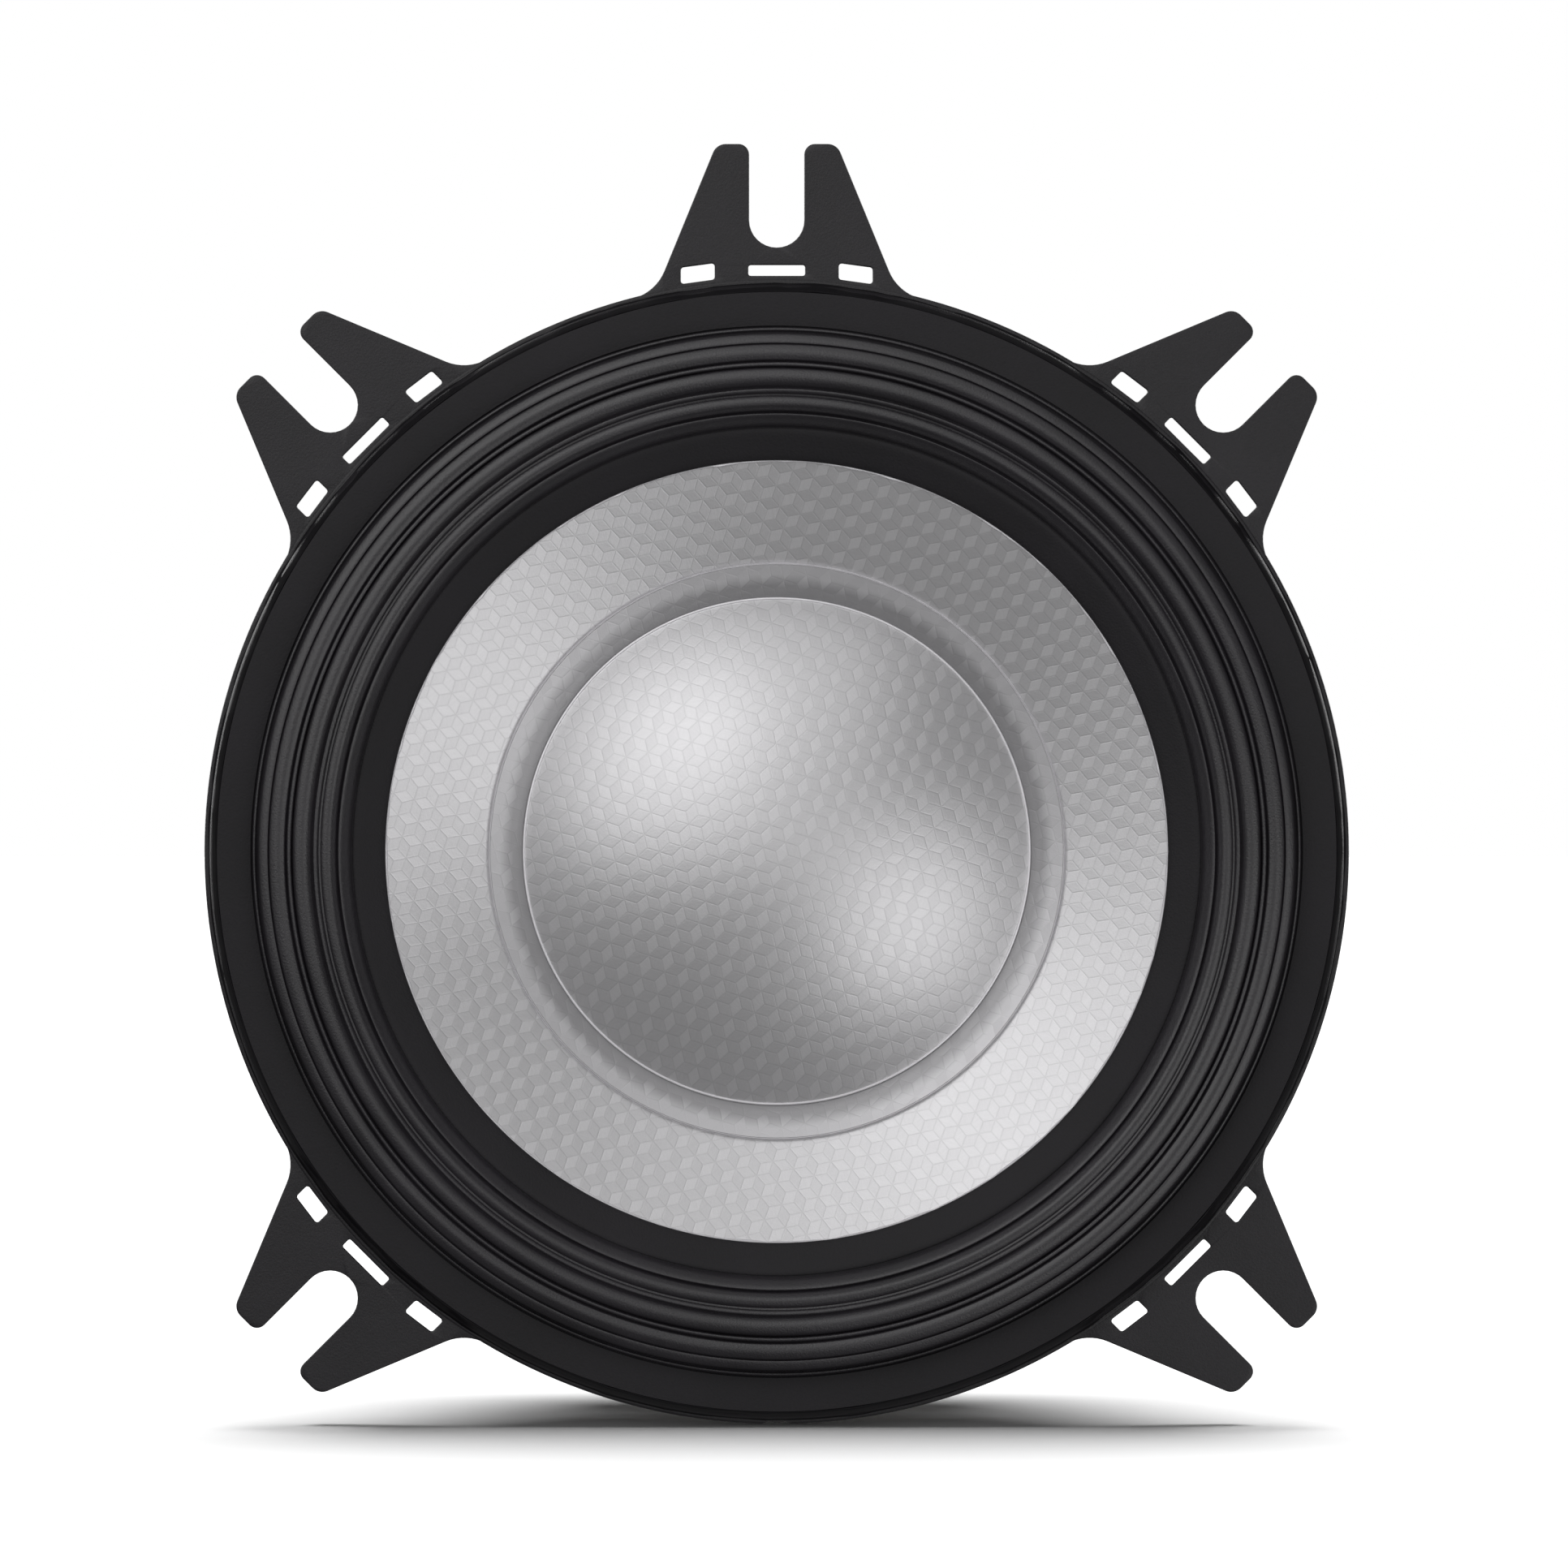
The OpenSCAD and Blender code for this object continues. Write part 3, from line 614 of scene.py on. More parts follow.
def finish(name):
    """The named material, built the first time it is asked for."""
    existing = bpy.data.materials.get(name)
    if existing:
        return existing
    looks = bpy.context.scene.speaker_finishes
    makers = {
        "powder_coat": lambda: grained(
            name, looks.coat, 0.48, 0.2, 0.02, low=0.6, high=1.5, swing=0.06, Specular_IOR_Level=0.32),
        # Painted sheen: the roll's rubber is 1.6 times paler than the lands', for the light its ribs catch;
        # its lower roughness is real.
        "roll_rubber_painted_sheen": lambda: grained(
            name, [1.6 * c for c in looks.rubber], 0.44, 0.17, 0.02, low=0.5, high=1.6,
            Specular_IOR_Level=0.55),
        "cone_cloth": lambda: woven(name, looks.cloth, 0.44, 1.94, 19.0, 0.017, 0.07),
        "cap_cloth": lambda: woven(name, looks.cloth, 0.44, 2.04, -13.0, 0.014, 0.05),
        "cap_flange_cloth": lambda: woven(
            name, [1.15 * c for c in looks.flange], 0.48, 2.04, -13.0, 0.016, 0.12, 0.45, painted_shade_ramp=1.5),
        "pale_resin": lambda: grained(
            name, looks.resin, 0.35, 0.6, 0.02, cloud=2.0, low=0.9, high=1.1, metallic=0.3),
        "dull_resin": lambda: grained(
            name, [0.85 * c for c in looks.resin], 0.45, 0.6, 0.02, cloud=2.0, low=0.9, high=1.1,
            metallic=0.5),
        "matt_rubber": lambda: grained(
            name, looks.rubber, 0.7, 0.2, 0.03, low=0.5, high=1.6, Specular_IOR_Level=0.3),
        "black_glue": lambda: grained(
            name, (0.006, 0.0055, 0.0065), 0.42, 2.2, 0.02, cloud=3.0, Specular_IOR_Level=0.12),
        "dark_glue": lambda: grained(
            name, (0.05, 0.04, 0.035), 0.3, 0.9, 0.08, cloud=3.0, Coat_Weight=0.4),
        "former_foil": lambda: turned_metal(name, (0.62, 0.61, 0.58), 0.35, 0.4, 0.003),
        "wound_copper": lambda: turned_metal(name, (0.72, 0.33, 0.16), 0.3, 0.22, 0.05, 0.6, 1.2),
        "copper_sheet": lambda: turned_metal(name, (0.75, 0.38, 0.22), 0.28, 0.5, 0.003),
        "kraft_paper": lambda: grained(
            name, (0.4, 0.27, 0.14), 0.8, 0.3, 0.03, cloud=4.0, low=0.7, high=1.25),
        "spider_cloth": lambda: threaded(name, looks.spider, 0.75, 0.55, 0.08),
        "zinc_plate": lambda: turned_metal(name, looks.zinc, 0.32, 0.35, 0.003),
        "ferrite": lambda: grained(
            name, looks.ferrite, 0.6, 0.5, 0.03, cloud=7.0, low=0.75, high=1.35, swing=0.12),
        "screen_wire": lambda: grained(
            name, (0.16, 0.16, 0.17), 0.4, 0.3, 0.02, metallic=1.0, cloud=2.0),
        "laminate": lambda: threaded(name, (0.16, 0.085, 0.045), 0.5, 0.4, 0.012, 0.8, 1.15),
        "tinned_brass": lambda: turned_metal(name, (0.76, 0.72, 0.6), 0.3, 0.6, 0.004, 0.8, 1.1),
        "solder": lambda: grained(
            name, (0.62, 0.63, 0.65), 0.25, 0.5, 0.03, metallic=1.0, cloud=1.0),
        "tinsel": lambda: grained(
            name, (0.62, 0.34, 0.2), 0.38, 0.12, 0.03, metallic=1.0, cloud=0.8, low=0.55, high=1.35),
    }
    return makers[name]()


# ---- Settings ----

def length(label, about, default, low, high):
    """A length in metres, given here in millimetres."""
    return FloatProperty(
        name=label, description=about, default=default * MM, min=low * MM, max=high * MM,
        precision=5, subtype="DISTANCE", unit="LENGTH",
    )


def power(label, about, default):
    """The power of a softbox, in watts."""
    return FloatProperty(name=label, description=about, default=default, min=0, unit="POWER")


def strength(label, about, default):
    """The strength of a light that has no unit."""
    return FloatProperty(name=label, description=about, default=default, min=0)


def steps_round(piece, default):
    """The number of steps that a turned piece is spun in."""
    about = f"Steps round the {piece}"
    return IntProperty(name="Steps", description=about, default=default, min=96, max=360)


def colour(label, about, default):
    """A linear colour."""
    return FloatVectorProperty(
        name=label, description=about, default=default, min=0, max=1, size=3, subtype="COLOR"
    )


class SpeakerFinishes(bpy.types.PropertyGroup):
    """Colours of the finishes."""
    coat: colour("Powder coat", "Colour of the basket's coating", (0.0082, 0.0073, 0.0089))
    rubber: colour("Rubber", "Colour of the surround", (0.0056, 0.0048, 0.0062))
    cloth: colour("Cloth", "Colour of the cone and the dome", (0.475, 0.47, 0.48))
    # Painted shade: this colour is darker than the cloth's, standing in for the shade on the flange's steeper
    # slope beside the dome.
    flange: colour("Cap flange", "Colour of the dust cap's glue-soaked flange", (0.3, 0.296, 0.304))
    # Painted highlight: the glue lines and the cap's crease are given this pale colour for the glints they
    # catch.
    resin: colour("Resin", "Colour of the pale lines of resin", (0.6, 0.59, 0.61))
    spider: colour("Spider", "Colour of the spider's cloth", (0.55, 0.34, 0.1))
    zinc: colour("Zinc", "Colour of the plated steel", (0.55, 0.56, 0.57))
    ferrite: colour("Ferrite", "Colour of the magnet", (0.055, 0.055, 0.058))


class SpeakerBasket(bpy.types.PropertyGroup):
    """Sizes of the pressed basket."""
    flange: length("Flange radius", "Outer radius of the ring between the ears", RIM_R, 50.8, 51.2)
    slot: length("Slot width", "Width of an ear's open slot", 4.9, 4.5, 5.2)
    edge: length("Broken edge", "Size of the rounding on the ears' edges", 0.13, 0.05, 0.2)
    rib: length("Rib height", "Depth of the pressed channel in each spoke", 0.8, 0.0, 1.2)
    steps: steps_round("basket", 256)


class SpeakerCone(bpy.types.PropertyGroup):
    """Sizes of the moving cloth parts."""
    wall: length("Cone wall", "Thickness of the woven cone", 0.5, 0.3, 0.7)
    cap_wall: length("Cap wall", "Thickness of the dust cap", 0.4, 0.3, 0.5)
    dome: length("Dome rise", "Height of the dome above its edge", 7.0, 6.0, 7.0)
    crease: length("Crease", "Height of the bead where the dome meets its flange", 0.2, 0.1, 0.3)
    steps: steps_round("cone", 256)


class SpeakerSurround(bpy.types.PropertyGroup):
    """Sizes of the rubber surround."""
    rise: length("Roll rise", "Height of the roll's highest rib above its feet", 2.8, 2.5, 3.2)
    steps: steps_round("surround", 288)


class SpeakerSpider(bpy.types.PropertyGroup):
    """Sizes of the spider."""
    wave: length("Wave height", "Half the height of a corrugation", 0.9, 0.5, 0.9)
    waves: IntProperty(name="Waves", description="Number of corrugations", default=6, min=4, max=8)


class SpeakerMotor(bpy.types.PropertyGroup):
    """Sizes of the motor."""
    magnet: length("Magnet radius", "Outer radius of the ferrite ring", 35.0, 34.0, 35.0)
    chamfer: length("Chamfer", "Size of the magnet's chamfers", 0.8, 0.4, 1.2)
    glue: length("Glue bead", "Radius of the adhesive squeezed out beside the magnet", 0.3, 0.1, 0.5)


class SpeakerLeads(bpy.types.PropertyGroup):
    """Sizes of the tinsel leads."""
    strand: length("Strand radius", "Radius of one twisted strand", 0.26, 0.2, 0.3)
    twist: length("Twist length", "Length of one turn of the twist", 3.2, 2.0, 6.0)


class SpeakerStage(bpy.types.PropertyGroup):
    """Light, camera and floor."""
    distance: length("Camera distance", "From the flange to the camera", 777.0, 700.0, 900.0)
    key: power("Key light", "Power of the upper left softbox", 4.1)
    front: power("Camera light", "Power of the softbox by the camera", 1.0)
    fill: power("Fill light", "Power of the lower right softbox", 3.0)
    rear: power("Rear lights", "Power of each softbox behind", 6.0)
    above: power("Upper light", "Power of the softbox above the front", 0.28)
    top: strength("Floor light", "Strength of the light overhead on the floor", 4.35)
    sky: strength("Room light", "Strength of the light from all round", 0.12)
    floor: colour("Floor", "Colour of the floor", (0.95, 0.95, 0.95))


# ---- Outlines of the basket ----

def ear_outline(ring_r, slot):
    """An ear's outline with its open slot, pointing up."""
    side, slope, tip, inner_r = 31.23, 0.41, 63.05, 50.65
    q = 1 + slope * slope
    v = (slope * side + math.sqrt(q * ring_r * ring_r - side * side)) / q
    root = (side - slope * v, v)
    half = slot / 2
    end = 56.27
    away = turned(root, -3.6)
    reach = math.degrees(math.atan2(away[0], away[1]))
    right = bent([
        [*turned((0, inner_r), -reach), 0],
        [away[0] * 0.998, away[1] * 0.998, 0],
        [*root, 4.2],
        [side - slope * tip, tip, 1.25],
        [half, tip, 0.95],
        [half, end + 1, 0],
    ], 8)
    slot_end = arc((0, end), half, 0, -180, 16)
    left = [(-x, y) for x, y in reversed(right)]
    inner = arc((0, 0), inner_r, 90 + reach, 90 - reach, 14)
    return right + slot_end + left + inner[1:-1]


def rounded_box(cx, cy, w, h, r):
    """A rectangle with rounded corners."""
    x, y = w / 2 - r, h / 2 - r
    line = []
    for sx, sy, start in ((1, -1, -90), (1, 1, 0), (-1, 1, 90), (-1, -1, 180)):
        line += arc((cx + sx * x, cy + sy * y), r, start, start + 90, 3)
    return line


def bent_loop(points, steps):
    """A closed line through [x, y, corner radius] points, with each corner rounded."""
    line = []
    for i, here in enumerate(points):
        before, after = points[i - 1], points[(i + 1) % len(points)]
        line += bent([[*before[:2], 0], here, [*after[:2], 0]], steps)[1:-1]
    return line


def side_window(sign):
    """The narrow slit beside the window at an ear's root."""
    near, far = 5.54, 8.54
    inner, outer = 51.28, 52.75
    corners = [(inner, near), (inner, far), (outer, far), (outer, near)]
    return bent_loop([[sign * x, math.sqrt(r * r - x * x), 0.25] for r, x in corners], 3)


def sector(r_in, r_out, half, corner):
    """A ring sector about 0 degrees, with rounded corners."""
    outer, inner = r_out - corner, r_in + corner
    a = half - math.degrees(math.asin(corner / outer))
    b = half - math.degrees(math.asin(corner / inner))
    line = arc((0, 0), r_out, -a, a, 24)
    line += arc(turned((outer, 0), a), corner, a, half + 90, 5)[1:]
    line += arc(turned((inner, 0), b), corner, half + 90, b + 180, 5)
    line += arc((0, 0), r_in, b, -b, 20)[1:]
    line += arc(turned((inner, 0), -b), corner, 180 - b, 270 - half, 5)[1:]
    line += arc(turned((outer, 0), -a), corner, 270 - half, 360 - a, 5)
    return line[:-1]


# ---- Pieces ----

class SPEAKER_OT_basket(bpy.types.Operator):
    """Builds the pressed steel basket with its five slotted ears"""
    bl_idname = "speaker.basket"
    bl_label = "Basket"

    def execute(self, context):
        sizes = context.scene.speaker_basket
        ring_r = sizes.flange / MM
        edge = ring_r - 0.25
        slope = bent([[45.9, 1, 0], [45.9, -3.8, 1.5], [34.8, -17.5, 0]])[1:-1]
        foot = (35.4, -16.76)
        line = bent([[edge, 0.5, 0], [50.15, 0.5, 0.6], [49.9, 2, 0.6], [45.9, 2, 0.7], [45.9, 0.5, 0]])
        line += slope + split(slope[-1], foot, 14)[1:]
        line += bent([
            [*foot, 0], [34.8, -17.5, 0.8], [29.7, -17.5, 0.8], [29.7, -23.5, 0.8], [14.3, -23.5, 0],
        ])
        rim = [
            (edge + 0.07, 0), (ring_r - 0.05, 0.06), (ring_r, 0.2), (ring_r, 0.76), (ring_r - 0.05, 0.92),
            (edge + 0.07, SHEET),
        ]
        profile = rim + beside(line, -SHEET / 2) + beside(line, SHEET / 2)[::-1]
        obj = spun("pressed_basket", profile, sizes.steps)
        self.press_ribs(obj, sizes.rib / MM)
        for turn in QUARTERS:
            loop = [turned(p, turn) for p in sector(37.4, 44, 30, 2)]
            combine(obj, plate("window_cutter", [loop], -16.8, -1, 0), "DIFFERENCE")
        gap = plate("terminal_gap", [rounded_box(0, -36.02, 17.4, 4.95, 0.6)], -19.1, -13.1, 0)
        combine(obj, gap, "DIFFERENCE")
        tab = plate("terminal_tab", [rounded_box(0, -35.68, 8, 6.25, 0.5)], -18.1, -17.12, 0.08)
        combine(obj, tab, "UNION")
        notch = plate(
            "rim_notch",
            [[(-1.5, -51.6), (-1.35, -50.99), (-0.75, -50.74), (-0.2, -50.86), (0.2, -50.86),
              (0.75, -50.74), (1.35, -50.99), (1.5, -51.6)]],
            -0.5, 1.5, 0,
        )
        combine(obj, notch, "DIFFERENCE")
        outline = [
            ear_outline(ring_r, sizes.slot / MM), rounded_box(0, 51.79, 5.04, 0.98, 0.2),
            side_window(1), side_window(-1),
        ]
        ear = plate("ear", outline, 0.02, 0.9, sizes.edge / MM)
        ears = [ear]
        for _ in EAR_ANGLES[1:]:
            only(ear)
            bpy.ops.object.duplicate()
            ears.append(bpy.context.object)
        for part, angle in zip(ears, EAR_ANGLES):
            only(part)
            part.rotation_euler = (0, math.radians(90 - angle), 0)
            bpy.ops.object.transform_apply(location=False, rotation=True, scale=False)
            combine(obj, part, "UNION")
        place(
            obj, "powder_coat", FRAME_BODY,
            ("basket_flange", "basket_bowl", "basket_base"), weighted=True,
        )
        return {"FINISHED"}

    @staticmethod
    def press_ribs(obj, depth):
        """Presses a shallow channel outwards along the middle of each spoke."""
        start, reach, half_width = 35.6, 9.6, 8
        outwards, backwards = 0.777, 0.63
        for vertex in obj.data.vertices:
            x, y, z = vertex.co / MM
            r = math.hypot(x, z)
            if not start < r < start + reach or not 4 < y < 16.5:
                continue
            away = abs((math.degrees(math.atan2(z, x)) % 90) - 45) / half_width
            if away > 1:
                continue
            along = (r - start) / reach
            push = depth * math.cos(away * math.pi / 2) ** 2 * math.sin(math.pi * along) ** 0.8
            vertex.co.x += outwards * push * x / r * MM
            vertex.co.z += outwards * push * z / r * MM
            vertex.co.y += backwards * push * MM


class SPEAKER_OT_surround(bpy.types.Operator):
    """Builds the ribbed rubber surround"""
    bl_idname = "speaker.surround"
    bl_label = "Surround"

    front = [
        (34.83, 1.62), (34.86, 1.86), (35.05, 2.06), (35.5, 2.3), (36.3, 2.64), (37.2, 3.0),
        (37.6, 3.03), (37.73, 2.95), (37.86, 3.12), (38.1, 3.6), (38.45, 4.06), (38.75, 4.3),
        (38.9, 4.3), (39.03, 4.08), (39.16, 4.4), (39.45, 4.8), (39.7, 4.96), (39.95, 4.98),
        (40.2, 4.92), (40.4, 4.8), (40.56, 4.64), (40.68, 4.94), (40.88, 5.1), (41.06, 5.08),
        (41.2, 4.92), (41.35, 5.24), (41.6, 5.52), (41.95, 5.67), (42.3, 5.66), (42.65, 5.54),
        (42.86, 5.34), (42.96, 5.02), (43.06, 5.32), (43.2, 5.42), (43.38, 5.34), (43.5, 5.08),
        (43.62, 5.36), (43.8, 5.46), (44.0, 5.53), (44.25, 5.55), (44.5, 5.5), (44.85, 5.34),
        (44.98, 5.22), (45.05, 5.06), (45.13, 5.22), (45.35, 5.21), (45.6, 5.12), (45.85, 4.98),
        (45.97, 4.78), (46.04, 4.2), (46.1, 3.3), (46.2, 3.04), (46.32, 3.18), (46.46, 3.2),
        (46.58, 3.1), (46.66, 2.92), (46.78, 3.06), (47.0, 3.1), (49.5, 3.1), (49.68, 3.05),
        (49.75, 2.9),
    ]
    back = [
        (49.75, 2.5), (46.7, 2.5), (46.25, 2.58), (45.6, 3.35), (44.7, 4.4), (43.4, 4.8),
        (42, 5.0), (40.7, 4.8), (39.5, 4.4), (38.7, 3.7), (38.0, 2.86), (37.5, 2.75),
    ]

    def execute(self, context):
        sizes = context.scene.speaker_surround
        foot, drawn_rise = 3.0, 2.8
        rise = sizes.rise / MM / drawn_rise
        line = [(r, foot + (z - foot) * rise if z > foot else z) for r, z in smooth(self.front, 3)]
        obj = spun("rubber_surround", line + self.back, sizes.steps)
        outer, inner = 46.6, 37.73
        bend_between(obj, lambda co: (outer - from_axis(co)) / (outer - inner))
        # The roll takes the rubber painted paler for its sheen, and the lands take the plain matt rubber.
        place(obj, "roll_rubber_painted_sheen", None, ("surround",))
        obj.data.materials.append(finish("matt_rubber"))
        for face in obj.data.polygons:
            on_land = not 37.8 < from_axis(face.center) / MM < 46.64
            face.material_index = int(on_land)
        bead = smooth([
            (49.7, 2.86), (49.84, 2.93), (49.98, 2.72), (50.2, 2.2), (50.42, 1.6), (50.6, 1.16),
            (50.66, 1.0),
        ], 3) + [(50.2, 0.9), (49.6, 2.2)]
        glue = spun("seat_glue", bead, sizes.steps)
        uneven(glue, 60, 0.1)
        place(glue, "black_glue", FRAME_BODY)
        return {"FINISHED"}


class SPEAKER_OT_cone(bpy.types.Operator):
    """Builds the woven cone, with the glue line where the surround is stuck to it"""
    bl_idname = "speaker.cone"
    bl_label = "Cone"

    def execute(self, context):
        sizes = context.scene.speaker_cone
        wall = sizes.wall / MM
        radii = [CONE_R, 36, 34, 32, 30, 28, 26.6] + [26 - 0.8 * k for k in range(16)] + [NECK_R]
        front = [(r, cone_z(r)) for r in radii]
        foot = cone_z(NECK_R) - 1.4
        behind = [(r, cone_z(r) - wall * 1.12) for r in reversed(radii) if r > NECK_R + wall]
        profile = front + [(NECK_R, foot), (NECK_R + wall, foot)] + behind
        obj = spun("woven_cone", profile, sizes.steps)
        place(obj, "cone_cloth", MOVING_BODY, ("cone",))
        self.edge_glue(sizes.steps)
        return {"FINISHED"}

    @staticmethod
    def edge_glue(steps):
        """The thin uneven line of clear glue along the surround's inner edge, painted pale as a painted
        highlight.
        """
        edge = cone_z(LAND_IN_R)
        profile = [
            (LAND_IN_R - 0.14, cone_z(LAND_IN_R - 0.14) - 0.03), (LAND_IN_R - 0.13, edge + 0.03),
            (LAND_IN_R - 0.06, edge + 0.12), (LAND_IN_R + 0.02, edge + 0.1), (LAND_IN_R + 0.06, edge - 0.03),
        ]
        obj = spun("edge_glue", profile, steps)
        uneven(obj, LAND_IN_R, 0.09)
        place(obj, "pale_resin", MOVING_BODY)


def uneven(obj, middle_r, size):
    """Moves the points of a thin ring in and out by a few hundredths, as a hand-laid line wanders."""
    for vertex in obj.data.vertices:
        x, z = vertex.co.x / MM, vertex.co.z / MM
        a = math.atan2(z, x)
        wave = (
            0.4 * math.sin(17 * a + 1.1) + 0.3 * math.sin(43 * a + 0.4) + 0.3 * math.sin(71 * a + 2.3)
            + 0.2 * math.sin(113 * a)
        )
        inside = 1 if math.hypot(x, z) < middle_r else 0.25
        scale = 1 + size * wave * inside / middle_r
        vertex.co.x *= scale
        vertex.co.z *= scale


class SPEAKER_OT_dust_cap(bpy.types.Operator):
    """Builds the domed dust cap with its glued flange, and the bead round it"""
    bl_idname = "speaker.dust_cap"
    bl_label = "Dust cap"

    def execute(self, context):
        sizes = context.scene.speaker_cone
        wall = sizes.cap_wall / MM
        rise = sizes.dome / MM
        crease = sizes.crease / MM
        base = cone_z(DOME_R) + wall
        ball = (DOME_R ** 2 + rise ** 2) / (2 * rise)
        centre = base + rise - ball
        half = math.asin(DOME_R / ball)

        def dome(r_ball, start, steps):
            slopes = [start * (1 - k / steps) for k in range(steps + 1)]
            return [(r_ball * math.sin(a), centre + r_ball * math.cos(a)) for a in slopes]

        inner_start = math.asin((DOME_R - 0.25) / ball)
        flange = [
            (CAP_R, cone_z(CAP_R) + 0.02), (CAP_R + 0.01, cone_z(CAP_R) + wall * 0.7),
            (CAP_R - 0.1, cone_z(CAP_R) + wall), (24.6, cone_z(24.6) + wall), (23.4, cone_z(23.4) + wall),
            (DOME_R + 0.26, cone_z(DOME_R + 0.26) + wall + 0.01),
        ]
        bead = [(DOME_R + 0.12, base + 0.01), (DOME_R, base + 0.06), (DOME_R - 0.12, base + 0.1)]
        inside = dome(ball - wall, inner_start, 26)[::-1]
        under = [(DOME_R - 0.3, cone_z(DOME_R - 0.3) + 0.02), (24.2, cone_z(24.2) + 0.01)]
        profile = flange + bead + dome(ball, inner_start, 34) + inside + under
        obj = spun("domed_dust_cap", profile, sizes.steps)
        place(obj, "cap_cloth", MOVING_BODY, ("dust_cap",))
        obj.data.materials.append(finish("cap_flange_cloth"))
        for face in obj.data.polygons:
            face.material_index = int(from_axis(face.center) > DOME_R * MM)
        # The crease bead is painted pale, as a painted highlight along the fold.
        line = [(DOME_R + 0.1, base - 0.05)] + [
            (DOME_R + out, base + crease * share)
            for out, share in ((0.1, 0.5), (0.06, 0.8), (0, 0.9), (-0.06, 0.85), (-0.11, 0.5))
        ]
        fold = spun("cap_crease_line", line, sizes.steps)
        place(fold, "pale_resin", MOVING_BODY)
        # The glue line round the flange's edge is painted a dimmer pale, as a painted highlight.
        edge = cone_z(CAP_R)
        ring = [
            (CAP_R - 0.05, edge + wall - 0.1), (CAP_R - 0.04, edge + wall), (CAP_R, edge + wall + 0.01),
            (CAP_R + 0.02, edge + 0.34), (CAP_R + 0.04, edge + 0.12), (CAP_R + 0.08, edge + 0.06),
            (CAP_R + 0.16, cone_z(CAP_R + 0.16) + 0.01), (CAP_R + 0.005, edge + 0.01),
        ]
        glue = spun("cap_glue_line", ring, sizes.steps)
        place(glue, "dull_resin", MOVING_BODY, ("cap_glue_bead",))
        return {"FINISHED"}


class SPEAKER_OT_spider(bpy.types.Operator):
    """Builds the corrugated spider that centres the voice coil"""
    bl_idname = "speaker.spider"
    bl_label = "Spider"

    def execute(self, context):
        sizes = context.scene.speaker_spider
        middle, wall = -16.75, 0.5
        first, last, rim = 14.3, 29.6, 33.4
        steps = 20 * sizes.waves
        line = []
        for k in range(steps + 1):
            t = k / steps
            height = math.sin(math.tau * sizes.waves * t) * min(1, 4 * (1 - t))
            line.append((first + (last - first) * t, middle + sizes.wave / MM * height))
        line += [(30.6, middle), (rim, middle)]
        top = [(r, z + wall / 2) for r, z in line]
        under = [(r, z - wall / 2) for r, z in line]
        lip = [
            (NECK_R + 0.01, -18.1), (NECK_R + 0.01, -16.2), (NECK_R + 0.45, -16.2), (NECK_R + 0.62, -16.42),
        ]
        profile = lip + top + under[::-1] + [(NECK_R + 0.62, -17.1), (NECK_R + 0.5, -18.1)]
        obj = spun("corrugated_spider", profile, 192)
        bend_between(obj, lambda co: (last - from_axis(co)) / (last - first))
        place(obj, "spider_cloth", None, ("spider",))
        return {"FINISHED"}


class SPEAKER_OT_motor(bpy.types.Operator):
    """Builds the top plate, the ferrite ring, the yoke and the glue between them"""
    bl_idname = "speaker.motor"
    bl_label = "Motor"

    def execute(self, context):
        sizes = context.scene.speaker_motor
        top = [
            (13.75, MAGNET_FRONT), (32.0, MAGNET_FRONT), (32.35, -27.9), (PLATE_R, -27.6),
            (PLATE_R, -24.5), (32.4, -24.15),
            (32.05, -24), (14.15, -24), (13.85, -24.1), (13.75, -24.4),
        ]
        self.turned_part("top_plate_steel", top, "zinc_plate", "zinc_steel", "top_plate")
        r, c = sizes.magnet / MM, sizes.chamfer / MM
        ring = bent([
            [MAGNET_HOLE_R, -33, 0], [MAGNET_HOLE_R, MAGNET_REAR, 0.5], [r - c, MAGNET_REAR, 0.3],
            [r, MAGNET_REAR + c, 0.3], [r, MAGNET_FRONT - c, 0.3], [r - c, MAGNET_FRONT, 0.3],
            [MAGNET_HOLE_R, MAGNET_FRONT, 0.5], [MAGNET_HOLE_R, -32.9, 0],
        ], 3)
        self.turned_part("ferrite_ring", ring, "ferrite", "ferrite", "magnet")
        back = bent([
            [4.5, -30, 0], [4.5, -40.8, 0.3], [7.5, -40.8, 0], [7.5, BACK, 0.25], [14, BACK, 0],
            [14.4, BACK + 0.25, 0.2], [15.2, BACK + 0.25, 0.2], [15.6, BACK, 0],
            [30.4, BACK, 0.6], [PLATE_R, BACK + 1.6, 0.8], [PLATE_R, -38.4, 0.2], [32.1, MAGNET_REAR, 0],
            [13.6, MAGNET_REAR, 1.2], [12.1, -36.5, 1], [12.1, -23, 0.3], [4.5, -23, 0.4], [4.5, -29.9, 0],
        ], 4)
        self.turned_part("yoke_steel", back, "zinc_plate", "zinc_steel", "yoke")
        g = sizes.glue / MM
        for name, low, side in (
            ("front_magnet_glue", MAGNET_FRONT, 1), ("rear_magnet_glue", MAGNET_REAR, -1),
        ):
            bead = [
                (32.3, low), (PLATE_R + g * 1.5, low), (PLATE_R + g * 1.2, low + side * g * 0.5),
                (PLATE_R + g * 0.5, low + side * g), (PLATE_R, low + side * g * 1.1),
                (32.3, low + side * g),
            ]
            obj = spun(name, bead, 128)
            uneven(obj, 32.0, 0.12)
            place(obj, "dark_glue", FRAME_BODY)
        return {"FINISHED"}

    @staticmethod
    def turned_part(name, profile, look, slot, node):
        obj = spun(name, profile, 192)
        place(obj, look, FRAME_BODY, (node,))


